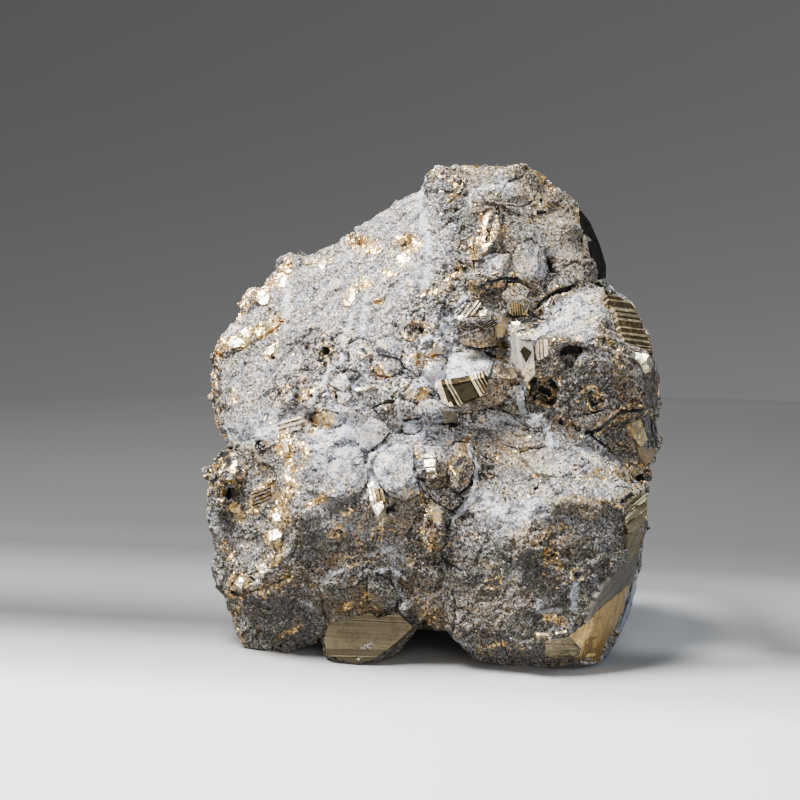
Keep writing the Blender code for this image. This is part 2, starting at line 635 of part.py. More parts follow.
def without_hollows(obj):
    """Fills the sealed hollows between crystals, by keeping only the outermost surface."""
    bm = bmesh.new()
    bm.from_mesh(obj.data)
    found = shells(bm)
    outermost = max(found, key=lambda shell: sum(face.calc_area() for face in shell))
    inner = [face for shell in found if shell is not outermost for face in shell]
    bmesh.ops.delete(bm, geom=inner, context="FACES")
    bm.to_mesh(obj.data)
    bm.free()
    print("sealed hollows filled:", len(found) - 1)
    return obj


def with_fewer_faces(obj):
    """Joins the faces that the Boolean steps split in one plane, and triangulates them anew."""
    bm = bmesh.new()
    bm.from_mesh(obj.data)
    bmesh.ops.dissolve_limit(bm, angle_limit=FLAT, verts=bm.verts, edges=bm.edges)
    bmesh.ops.triangulate(bm, faces=bm.faces)
    bm.to_mesh(obj.data)
    bm.free()
    return obj


def set_on_origin(obj):
    """Puts the origin under the middle of the box, and scales the layout to its real size."""
    mesh = obj.data
    xs, ys, _zs = zip(*(vertex.co for vertex in mesh.vertices))
    middle = Vector(((min(xs) + max(xs)) / 2, (min(ys) + max(ys)) / 2, 0))
    growth = WIDTH / (max(xs) - min(xs))
    mesh.transform(Matrix.Scale(MM * growth, 4) @ Matrix.Translation(-middle))
    print("layout middle", round(middle.x, 3), round(middle.y, 3), "growth", round(growth, 5))


def pyrite():
    """The finish of the whole piece."""
    material = bpy.data.materials.new("pyrite")
    material.use_nodes = True
    shader = material.node_tree.nodes["Principled BSDF"]
    shader.inputs["Base Color"].default_value = PYRITE_COLOUR
    shader.inputs["Metallic"].default_value = PYRITE_METALLIC
    shader.inputs["Roughness"].default_value = PYRITE_ROUGHNESS
    material.diffuse_color = PYRITE_COLOUR
    return material


def main():
    """Builds the cluster."""
    clear_scene()
    masses = [summit(), shoulder_step(), left_shoulder(), lower_left(), lower_right()]
    masses += [middle_fill(), centre_fill()] + ridges()
    cluster = weathered(joined(back_mass(), masses))
    blocks = [right_shoulder(), centre_block(), foot_crystal(), right_wall()]
    cluster = joined(cluster, blocks + small_blocks())
    cluster = joined(cluster, set_on_surface(cluster, FRONT_CRYSTALS))
    cluster = joined(cluster, [crystal(*row) for row in HIDDEN_CRYSTALS])
    cluster = joined(cluster, set_on_surface(cluster, PITS), "DIFFERENCE")
    cluster = joined(cluster, [ground_slab()], "DIFFERENCE")
    cluster = with_fewer_faces(without_hollows(cluster))
    cluster.name = NODE_NAME
    set_on_origin(cluster)
    cluster.data.materials.clear()
    cluster.data.materials.append(pyrite())


main()
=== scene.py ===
"""A pyrite cluster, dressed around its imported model.

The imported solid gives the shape. A finer skin of the same shape carries the thin grey
crust, its pits, veins and windows of clean pyrite. Clean crystal faces, small brass
crystals and crust grains are pieces of their own that sit on that skin.

Lengths in the classes are in millimetres, and Blender's are in metres. A place on the
best side is given as it is seen there: pixels across and down the 800 pixel frame. It
is always cast onto the surface that carries it.
"""

import logging
import math
import random
from collections.abc import Callable
from dataclasses import dataclass
from enum import Enum

import bmesh
import bpy
import numpy as np
from mathutils import Euler, Matrix, Vector, noise
from mathutils.bvhtree import BVHTree


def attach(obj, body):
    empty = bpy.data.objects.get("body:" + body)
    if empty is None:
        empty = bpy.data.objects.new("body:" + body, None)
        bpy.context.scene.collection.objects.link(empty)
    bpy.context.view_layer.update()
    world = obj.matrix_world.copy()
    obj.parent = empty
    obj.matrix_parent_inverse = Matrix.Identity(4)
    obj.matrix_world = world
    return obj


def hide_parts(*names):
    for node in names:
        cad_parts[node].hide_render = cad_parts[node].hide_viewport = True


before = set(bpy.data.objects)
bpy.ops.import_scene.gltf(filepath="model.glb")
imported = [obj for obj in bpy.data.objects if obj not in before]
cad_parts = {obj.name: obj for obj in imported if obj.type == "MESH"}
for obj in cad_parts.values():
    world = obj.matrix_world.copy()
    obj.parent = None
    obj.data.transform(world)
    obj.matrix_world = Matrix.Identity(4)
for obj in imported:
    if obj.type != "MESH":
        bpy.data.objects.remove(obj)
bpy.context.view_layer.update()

LOG = logging.getLogger("pyrite_cluster")

MM = 0.001
NODE = "pyrite_cluster"
BODY = "root"

FRAME_PIXELS = 800
# How wide a pixel is on the cluster, in millimetres
PIXEL_WIDTH = 0.18
LENS = 85.0
SENSOR = 36.0

# From this height on the crust has all its relief, and grains may sit on it, in millimetres
FLAT_BELOW = 1.5
# How near two points of the solid are that count as one, in millimetres
SAME_POINT = 0.01

Pixel = tuple[float, float]
Point = tuple[float, float, float]
Colour = tuple[float, float, float]
Socket = bpy.types.NodeSocket


# How the best side is seen


@dataclass(frozen=True)
class BestSide:
    """The camera of the best side, and the step between its pixels and the frame.

    Attributes:
        target: the point that it looks at, in millimetres.
        distance: how far from it the eye is, in millimetres.
        rise: how far above the horizon the eye is, in degrees.
    """

    target: Point = (-5.772, -18.350, 44.769)
    distance: float = 318.04
    rise: float = 6.0

    @property
    def towards(self) -> Vector:
        """The direction in which the camera looks."""
        angle = math.radians(self.rise)
        return Vector((0, math.cos(angle), -math.sin(angle)))

    @property
    def upward(self) -> Vector:
        """The direction that is up in the picture."""
        angle = math.radians(self.rise)
        return Vector((0, math.sin(angle), math.cos(angle)))

    @property
    def eye(self) -> Vector:
        """The camera's place, in metres."""
        return (Vector(self.target) - self.towards * self.distance) * MM

    @property
    def focal_pixels(self) -> float:
        """The focal length, in pixels of the frame."""
        return LENS / SENSOR * FRAME_PIXELS

    def sight(self, pixel: Pixel) -> Vector:
        """The direction in which the camera sees a pixel.

        Args:
            pixel: its place across and down the frame.

        Returns:
            A direction of length one.
        """
        half = FRAME_PIXELS / 2
        aside = Vector((1, 0, 0)) * (pixel[0] - half) + self.upward * (half - pixel[1])
        return (self.towards * self.focal_pixels + aside).normalized()

    def pixels(self, points: np.ndarray) -> np.ndarray:
        """Where points show in the frame.

        Args:
            points: their places, one row each, in metres.

        Returns:
            Their pixels across and down, one row each.
        """
        away = points - np.array(self.eye)
        depth = away @ np.array(self.towards)
        across = away[:, 0] / depth * self.focal_pixels + FRAME_PIXELS / 2
        down = FRAME_PIXELS / 2 - away @ np.array(self.upward) / depth * self.focal_pixels
        return np.stack([across, down], axis=1)

    def camera(self) -> bpy.types.Object:
        """Makes the camera and gives it to the scene."""
        data = bpy.data.cameras.new("camera")
        data.lens = LENS
        data.sensor_width = SENSOR
        data.clip_start = 0.01
        made = bpy.data.objects.new("camera", data)
        made.location = self.eye
        made.rotation_euler = self.towards.to_track_quat("-Z", "Y").to_euler()
        bpy.context.scene.collection.objects.link(made)
        bpy.context.scene.camera = made
        return made


VIEW = BestSide()


# What the best side shows, and where


class Mark(Enum):
    """What a mark on the crust is."""

    WHITE = "white"
    BRASS = "brass"
    # Pits, painted black as their shade
    DARK = "dark"
    WARM = "warm"
    # Pale crust, partly painted light where the crust faces the light
    PALE = "pale"
    # Painted shade: the crust is coloured darker where it looks down or lies in shade; its attribute is
    # called shade
    SHADE = "shade"
    SMOOTH = "smooth"
    RUBBLE = "rubble"
    # Creases, painted dark as their shade
    CREASE = "crease"


@dataclass(frozen=True)
class Stroke:
    """A mark along a line of places on the best side.

    Attributes:
        mark: what it is.
        line: the pixels that it passes, or the single pixel that it surrounds.
        reach: how far it spreads to each side, in pixels.
        strength: how strong it is in its middle, from 0 to 1.
    """

    mark: Mark
    line: tuple[Pixel, ...]
    reach: float
    strength: float = 1.0


# Each mark's strokes: the line, the reach and, where it isn't 1, the strength
DRAWN = {
    # White powder in the grooves and along the edges
    Mark.WHITE: (
        (((421, 170), (421, 200), (424, 230), (430, 255), (424, 288)), 4, 0.75),
        (((452, 228), (470, 196), (500, 186), (506, 182)), 4, 0.65),
        (((344, 338), (342, 362), (335, 364), (325, 376), (304, 415), (312, 408)), 2.6, 0.95),
        (((365, 304), (362, 335)), 2.4, 0.95),
        (((352, 318), (345, 332)), 3, 0.85),
        (((330, 370), (322, 376)), 3, 0.8),
        (((465, 300), (446, 322), (436, 336), (410, 344)), 3, 0.8),
        (((455, 350), (448, 378), (443, 392)), 3, 0.9),
        (((490, 352), (470, 375), (450, 382)), 5, 0.6),
        (((412, 388), (428, 382), (442, 380)), 2.5, 0.8),
        (((340, 420), (346, 440), (340, 462)), 5, 0.65),
        (((354, 437), (360, 446)), 3, 0.9),
        (((383, 447), (372, 455), (368, 468), (372, 478), (369, 485)), 2.8, 0.95),
        (((398, 400), (402, 420), (415, 432), (421, 442)), 3, 0.85),
        (((470, 444), (476, 470), (472, 498), (460, 512), (452, 520)), 2.8, 1.0),
        (((480, 492), (497, 512), (512, 524), (530, 512), (528, 505)), 4, 0.7),
        (((525, 356), (523, 385), (520, 400), (522, 412), (545, 420), (551, 446)), 3, 0.95),
        (((545, 420), (570, 432), (598, 440)), 3, 0.55),
        (((496, 418), (520, 420), (540, 425)), 4, 0.65),
        (((508, 335), (512, 370), (524, 385)), 3, 0.7),
        (((524, 350), (545, 330), (566, 318)), 3, 0.65),
        (((575, 582), (574, 608)), 4, 0.85),
        (((537, 600), (538, 614), (560, 610)), 3, 0.8),
        (((592, 575), (602, 584)), 4, 0.55),
        (((395, 575), (402, 600), (406, 612)), 3, 0.65),
        (((455, 640), (470, 648)), 3, 0.65),
        (((230, 438), (260, 434), (285, 424)), 4, 0.6),
        (((213, 510), (218, 530)), 5, 0.6),
        (((288, 285), (286, 312), (284, 330)), 3, 0.75),
        (((400, 540), (392, 556)), 5, 0.5),
        (((366, 556), (392, 548), (404, 560)), 2.5, 0.75),
        (((375, 575), (392, 568), (400, 575)), 2.5, 0.8),
        (((340, 520), (352, 528)), 2.5, 0.75),
        (((300, 600), (312, 606)), 2.5, 0.7),
        (((330, 575), (345, 570)), 2.2, 0.7),
    ),
    # Pits, painted black as their shade
    Mark.DARK: (
        (((326, 350), (327, 354)), 3),
        (((321, 360), (324, 362)), 3),
        (((334, 352),), 2),
        (((281, 321),), 3),
        (((272, 357),), 2.5),
        (((311, 396),), 3),
        (((336, 396),), 2.5),
        (((417, 329), (422, 331)), 3.4),
        (((366, 353), (363, 350)), 2.5),
        (((459, 262), (466, 270)), 4, 0.8),
        (((475, 287), (500, 279), (520, 279)), 2.5, 0.8),
        (((541, 201),), 3, 0.9),
        (((538, 213), (544, 213)), 2.5, 0.9),
        (((529, 218),), 2.5, 0.7),
        (((494, 213), (491, 226), (486, 240)), 4, 0.8),
        (((525, 229), (532, 236)), 4, 0.7),
        (((548, 262), (553, 268)), 4),
        (((540, 306), (548, 298), (557, 292), (566, 291), (578, 281)), 2.2),
        (((512, 318), (520, 314), (526, 308)), 2.5, 0.9),
        (((518, 331), (530, 328), (538, 325)), 2.4),
        (((505, 346), (509, 347)), 3),
        (((562, 353), (570, 348), (581, 353)), 5),
        (((567, 361), (569, 364)), 2),
        (((538, 388), (548, 386), (546, 396)), 11, 0.74),
        (((533, 384), (536, 381)), 3),
        (((541, 389), (547, 392)), 3),
        (((550, 381), (555, 386)), 2.5),
        (((545, 400), (551, 402)), 2.5),
        (((535, 397),), 3),
        (((590, 394), (594, 404), (600, 400)), 3, 0.9),
        (((590, 377), (591, 380)), 2, 0.8),
        (((583, 415), (596, 412), (604, 411)), 1.8, 0.7),
        (((560, 420), (575, 430), (592, 433), (606, 424), (620, 413), (640, 410)), 2.4),
        (((581, 430), (598, 440), (613, 453)), 1.8, 0.9),
        (((486, 352), (494, 356)), 2.5),
        (((486, 382), (492, 372)), 2.5),
        (((442, 424), (458, 424)), 2, 0.9),
        (((454, 466), (465, 458)), 3),
        (((385, 514), (392, 509), (400, 504)), 4),
        (((441, 555), (450, 566)), 2, 0.8),
        (((474, 478), (470, 490), (463, 500), (448, 515)), 2, 0.7),
        (((535, 482), (536, 488)), 3),
        (((522, 489), (525, 494)), 2.5, 0.8),
        (((502, 467),), 2, 0.8),
        (((634, 480), (646, 477)), 3.8),
        (((619, 503), (632, 495)), 2.5, 0.9),
        (((540, 543), (553, 537), (565, 531)), 3, 0.8),
        (((549, 561), (554, 555)), 2.5),
        (((576, 574),), 3),
        (((494, 583),), 3.5, 0.8),
        (((558, 624), (562, 626)), 2, 0.8),
        (((341, 533),), 2.2),
        (((349, 563),), 2.6),
        (((368, 557), (371, 545), (378, 532)), 2.5, 0.6),
        (((348, 585), (368, 576)), 1.6, 0.7),
        (((378, 575), (390, 583), (398, 592)), 1.6, 0.7),
        (((229, 461), (230, 463)), 3),
        (((240, 466), (239, 472)), 2.5),
        (((214, 476), (213, 482)), 3),
        (((230, 488), (229, 500)), 3.5),
        (((208, 466), (218, 456), (232, 448)), 3, 0.8),
        (((233, 593), (240, 592)), 2.5),
        (((212, 380), (211, 388)), 3, 0.7),
        (((216, 412),), 2.5, 0.7),
        (((246, 630), (252, 645), (262, 652)), 4, 0.6),
        (((436, 556), (436, 600), (437, 616)), 1.6, 0.6),
    ),
    # Clean pyrite that shows through the crust
    Mark.BRASS: (
        (((283, 434), (285, 452), (292, 473), (291, 491), (280, 498), (277, 517)), 7),
        (((299, 443), (309, 454), (300, 463)), 5, 0.8),
        (((287, 517), (280, 528), (270, 537), (280, 548)), 6, 0.8),
        (((256, 504), (268, 488)), 9, 0.9),
        (((234, 508), (238, 518)), 6, 0.8),
        (((260, 458), (262, 470)), 7, 0.45),
        (((234, 590), (236, 578), (246, 584)), 6, 0.7),
        (((262, 568), (270, 562), (280, 553)), 6, 0.7),
        (((224, 545), (232, 560)), 6, 0.5),
        (((262, 592), (276, 584), (290, 577)), 5, 0.6),
        (((276, 640), (286, 633), (300, 627)), 4, 0.6),
        (((225, 612), (234, 630), (244, 648)), 5, 0.5),
        (((232, 614), (240, 606)), 4, 0.5),
        (((310, 504), (322, 497), (330, 492)), 4, 0.8),
        (((342, 513), (354, 509)), 3, 0.7),
        (((328, 536), (336, 530), (344, 523)), 3, 0.7),
        (((216, 348), (225, 343), (238, 341), (250, 333), (268, 330), (280, 322)), 7),
        (((236, 312), (247, 300), (262, 292), (270, 282), (282, 278), (289, 262)), 7, 0.9),
        (((214, 352), (218, 356)), 6, 0.7),
        (((305, 263), (322, 262), (332, 258)), 4, 0.7),
        (((346, 302), (352, 292), (358, 286), (366, 283)), 5, 0.9),
        (((354, 240), (364, 246), (374, 248)), 8, 0.9),
        (((399, 240), (408, 238), (418, 244), (408, 252), (404, 262)), 6, 0.9),
        (((385, 272), (392, 276)), 4, 0.8),
        (((380, 300), (376, 306)), 3, 0.7),
        (((422, 294), (430, 290), (440, 291)), 4, 0.7),
        (((445, 282), (456, 276), (460, 268)), 5, 0.6),
        (((404, 192), (412, 190)), 4, 0.7),
        (((436, 172), (446, 172), (456, 182), (452, 195)), 8, 0.5),
        (((462, 168), (480, 170), (500, 170), (516, 168)), 5, 0.55),
        (((535, 170), (544, 182), (552, 190)), 4, 0.8),
        (((484, 218), (488, 230), (480, 246), (476, 254)), 8, 0.9),
        (((497, 215), (502, 232)), 8, 0.5),
        (((520, 250), (530, 262), (524, 275)), 6, 0.3),
        (((232, 392), (234, 400)), 4, 0.9),
        (((212, 386), (212, 405)), 4, 0.6),
        (((216, 420), (221, 432), (226, 436)), 4, 0.8),
        (((268, 352), (276, 348)), 5, 0.9),
        (((300, 398), (308, 394), (316, 390)), 6, 0.7),
        (((284, 390), (288, 386)), 4, 0.7),
        (((312, 424), (322, 418), (334, 420)), 7, 0.7),
        (((404, 336), (410, 340), (418, 340)), 5, 0.6),
        (((376, 370), (388, 374), (372, 372)), 6, 0.6),
        (((416, 356), (420, 366), (434, 350)), 5, 0.7),
        (((424, 388), (420, 398)), 6, 0.8),
        (((409, 394), (413, 398)), 3, 0.8),
        (((416, 452), (420, 456)), 4, 0.7),
        (((398, 470), (404, 492), (420, 496)), 8, 0.35),
        (((430, 512), (424, 530), (432, 548)), 7, 0.5),
        (((460, 448), (470, 440), (474, 446)), 5, 0.7),
        (((500, 448), (520, 440), (528, 460), (500, 456)), 10, 0.35),
        (((590, 480), (606, 474), (630, 470), (644, 468)), 9, 0.55),
        (((545, 500), (570, 500), (600, 500), (618, 505)), 4, 0.5),
        (((546, 618), (556, 616), (562, 622)), 5, 0.8),
        (((536, 634), (548, 634)), 2.5, 0.8),
        (((548, 552), (556, 566)), 6, 0.6),
        (((480, 648), (500, 645), (520, 648)), 4, 0.4),
        (((346, 606), (356, 610), (366, 600), (378, 612)), 6, 0.5),
        (((424, 620), (436, 624), (428, 604)), 7, 0.4),
        (((592, 302), (602, 296), (606, 304)), 5, 0.5),
        (((590, 320), (600, 330), (612, 345), (620, 360)), 7, 0.45),
        (((540, 348), (556, 340), (575, 338)), 5, 0.4),
    ),
    # Rusty stains
    Mark.WARM: (
        (((464, 340), (480, 342), (500, 340)), 6, 0.9),
        (((492, 392), (504, 384), (506, 366), (500, 400)), 8, 0.8),
        (((618, 372), (626, 390), (630, 402)), 12, 0.6),
        (((500, 445), (520, 450), (540, 462)), 16, 0.5),
        (((560, 505), (600, 508)), 9, 0.5),
        (((448, 478), (462, 470), (470, 482)), 10, 0.5),
        (((430, 530), (432, 550)), 12, 0.5),
        (((400, 500), (420, 505), (395, 530)), 12, 0.5),
        (((328, 560), (336, 556)), 7, 0.7),
        (((482, 566), (493, 568)), 3, 0.8),
        (((520, 540), (528, 535)), 9, 0.5),
        (((425, 610), (440, 618), (415, 590)), 14, 0.5),
        (((262, 590), (290, 578)), 9, 0.5),
        (((228, 620), (236, 640)), 9, 0.6),
        (((494, 222), (506, 240), (515, 262)), 12, 0.5),
        (((508, 290), (525, 296), (530, 285)), 10, 0.4),
        (((512, 372), (510, 384)), 7, 0.7),
        (((560, 558), (570, 545), (548, 575)), 14, 0.35),
        (((470, 600), (490, 620), (520, 600)), 18, 0.25),
        (((318, 600), (340, 616)), 14, 0.4),
        (((356, 590), (372, 600)), 12, 0.5),
        (((395, 545), (405, 560)), 8, 0.4),
        (((300, 575), (320, 590)), 10, 0.4),
        (((350, 540), (362, 556)), 8, 0.4),
        (((530, 380), (545, 395)), 10, 0.4),
        (((478, 400), (500, 396)), 8, 0.6),
        (((535, 185), (560, 220), (572, 250)), 22, 0.5),
        (((470, 180), (490, 205)), 18, 0.45),
    ),
    # Pale crust, partly painted light: paler where it is lit
    Mark.PALE: (
        (((330, 520), (360, 525), (400, 515)), 16, 0.4),
        (((480, 430), (560, 470), (600, 480)), 22, 0.5),
        (((300, 290), (350, 270), (400, 225), (425, 195)), 32, 0.5),
        (((300, 330), (350, 330), (400, 290), (430, 250)), 30, 0.5),
        (((240, 385), (280, 370)), 26, 0.5),
        (((230, 330), (250, 305)), 18, 0.6),
        (((470, 190), (505, 180)), 16, 0.4),
        (((555, 235), (565, 250)), 20, 0.4),
        (((340, 380), (400, 360), (440, 370), (430, 430)), 30, 1.0),
        (((350, 420), (330, 450), (400, 470)), 30, 1.0),
        (((300, 400), (280, 420), (230, 430)), 18, 0.8),
        (((440, 325), (450, 340)), 16, 1.0),
        (((375, 480), (395, 488)), 14, 1.0),
        (((300, 480), (320, 505), (335, 480)), 18, 0.6),
        (((480, 262), (500, 272), (530, 265)), 12, 0.7),
        (((560, 312), (590, 305), (580, 325)), 18, 0.8),
        (((470, 365), (485, 360), (460, 372)), 14, 0.9),
        (((400, 430), (380, 440), (440, 430)), 24, 0.5),
        (((480, 500), (500, 520), (540, 500)), 18, 0.8),
        (((560, 450), (600, 470), (520, 480)), 24, 0.5),
        (((310, 445), (330, 480)), 20, 0.4),
        (((385, 540), (400, 560)), 14, 0.3),
    ),
    # Painted shade on what looks down and forwards
    Mark.SHADE: (
        (((500, 560), (540, 590), (590, 560), (600, 530)), 34, 0.8),
        (((480, 610), (520, 630)), 24, 0.5),
        (((330, 545), (370, 560), (340, 590)), 28, 0.3),
        (((260, 620), (300, 610), (280, 645)), 28, 0.7),
        (((300, 560), (310, 580)), 20, 0.3),
        (((400, 590), (430, 600)), 20, 0.2),
        (((380, 500), (400, 520)), 14, 0.6),
        (((570, 385), (600, 395), (560, 400)), 26, 0.3),
        (((226, 470), (215, 500)), 18, 0.6),
        (((520, 240), (505, 225), (515, 262)), 12, 0.9),
        (((540, 200), (560, 235), (585, 250)), 26, 0.9),
        (((470, 185), (500, 205), (530, 190)), 22, 0.8),
        (((450, 205), (470, 215), (500, 215)), 20, 1.0),
        (((480, 175), (520, 172), (545, 185)), 14, 0.8),
        (((450, 240), (455, 270)), 10, 0.8),
        (((560, 200), (575, 225)), 14, 0.8),
        (((595, 240), (600, 270)), 12, 0.9),
        (((540, 285), (520, 298)), 14, 0.5),
    ),
    # Rubble of small intergrown crystals, with gaps between them
    Mark.RUBBLE: (
        (((300, 392), (340, 370), (380, 375), (420, 350), (450, 330)), 26),
        (((400, 340), (430, 300), (450, 275)), 14, 0.6),
        (((460, 310), (500, 325), (540, 320)), 14, 0.8),
        (((360, 400), (420, 400), (470, 420)), 18, 0.7),
        (((430, 470), (470, 480), (440, 520), (430, 560)), 20, 0.8),
        (((310, 350), (330, 345)), 16, 0.7),
        (((210, 350), (215, 400), (220, 430)), 8, 0.7),
        (((215, 460), (235, 480), (225, 500)), 14, 0.9),
        (((430, 170), (450, 190), (460, 240), (500, 270)), 14, 0.7),
        (((590, 385), (620, 395)), 20, 0.5),
        (((560, 560), (550, 575), (540, 550)), 16, 0.6),
    ),
    # Thin creases where crystals meet, painted dark as their shade
    Mark.CREASE: (
        (((522, 316), (532, 311), (540, 305), (548, 297), (557, 291), (584, 280)), 2.0),
        (((568, 423), (580, 430), (592, 433), (602, 428), (611, 419), (641, 410)), 1.8),
        (((592, 433), (602, 443), (612, 452)), 1.3),
        (((441, 425), (450, 426), (459, 424)), 1.8),
        (((460, 415), (480, 414), (498, 409), (508, 399), (512, 386)), 1.4),
        (((348, 364), (348, 342), (360, 338)), 1.2),
        (((363, 411), (374, 407), (386, 403), (394, 402)), 1.2),
        (((362, 449), (370, 452), (384, 441), (391, 431)), 1.4),
        (((475, 445), (475, 470), (471, 486), (459, 494)), 1.4),
        (((454, 512), (448, 528), (442, 546), (438, 557), (447, 563), (461, 571)), 1.4),
        (((417, 450), (414, 470), (422, 480), (430, 489)), 1.3),
        (((376, 574), (390, 580), (398, 594)), 1.2),
        (((340, 590), (351, 587), (367, 577)), 1.0),
        (((454, 590), (455, 620), (454, 640)), 1.2),
        (((321, 590), (324, 612), (328, 624)), 1.5),
        (((626, 505), (627, 530), (624, 546)), 1.0, 0.7),
        (((511, 260), (515, 250), (520, 242)), 1.0),
        (((474, 275), (488, 280), (505, 278), (520, 280)), 1.6),
        (((504, 348), (508, 338), (508, 320), (504, 308)), 1.4),
        (((532, 386), (528, 402), (540, 409), (560, 415), (582, 417), (604, 411)), 1.2, 0.8),
        (((635, 425), (636, 450), (618, 453)), 1.2),
        (((206, 472), (212, 460), (225, 450), (240, 446)), 1.5),
        (((279, 419), (275, 432), (262, 437), (240, 441)), 1.2, 0.8),
        (((330, 497), (300, 510), (293, 526), (301, 545), (320, 551)), 1.4, 0.45),
        (((345, 523), (334, 535)), 1.0),
        (((220, 544), (240, 538), (256, 530)), 0.9, 0.6),
        (((228, 596), (242, 595), (264, 588), (290, 576)), 1.4, 0.8),
        (((400, 542), (412, 528), (418, 515), (429, 505)), 1.2),
        (((214, 352), (225, 357), (250, 344), (276, 331), (288, 322)), 1.2, 0.8),
        (((425, 357), (446, 356)), 0.9),
        (((425, 368), (428, 378), (420, 383)), 0.9),
        (((402, 421), (418, 419), (422, 429), (414, 436)), 1.0, 0.8),
        (((536, 374), (536, 340)), 1.0),
        (((507, 382), (520, 384), (525, 394), (527, 408)), 1.0, 0.8),
        (((488, 197), (506, 193), (509, 180)), 0.8, 0.5),
        (((421, 165), (422, 190)), 0.8, 0.4),
        (((604, 337), (622, 344), (641, 354)), 1.0, 0.6),
        (((378, 415), (386, 424), (391, 418)), 0.8, 0.8),
        (((451, 448), (448, 462), (451, 478)), 1.0),
        (((405, 610), (418, 622), (440, 630)), 1.0, 0.7),
        (((348, 537), (350, 560), (340, 580)), 1.0, 0.7),
        (((412, 596), (428, 590), (444, 586)), 1.0, 0.7),
    ),
}
STROKES = [Stroke(mark, *drawn) for mark, group in DRAWN.items() for drawn in group]


@dataclass(frozen=True)
class Lump:
    """A small crystal under the crust, which stands out as a chipped block.

    Attributes:
        corners: its outline on the best side, as pixels.
        rise: how far it stands out, in millimetres.
        smooth: how smooth its face is, from 0 to 1.
        tint: the mark that its face carries, if any.
        strength: how strong that mark is.
    """

    corners: tuple[Pixel, ...]
    rise: float
    smooth: float = 0.0
    tint: Mark | None = None
    strength: float = 0.6


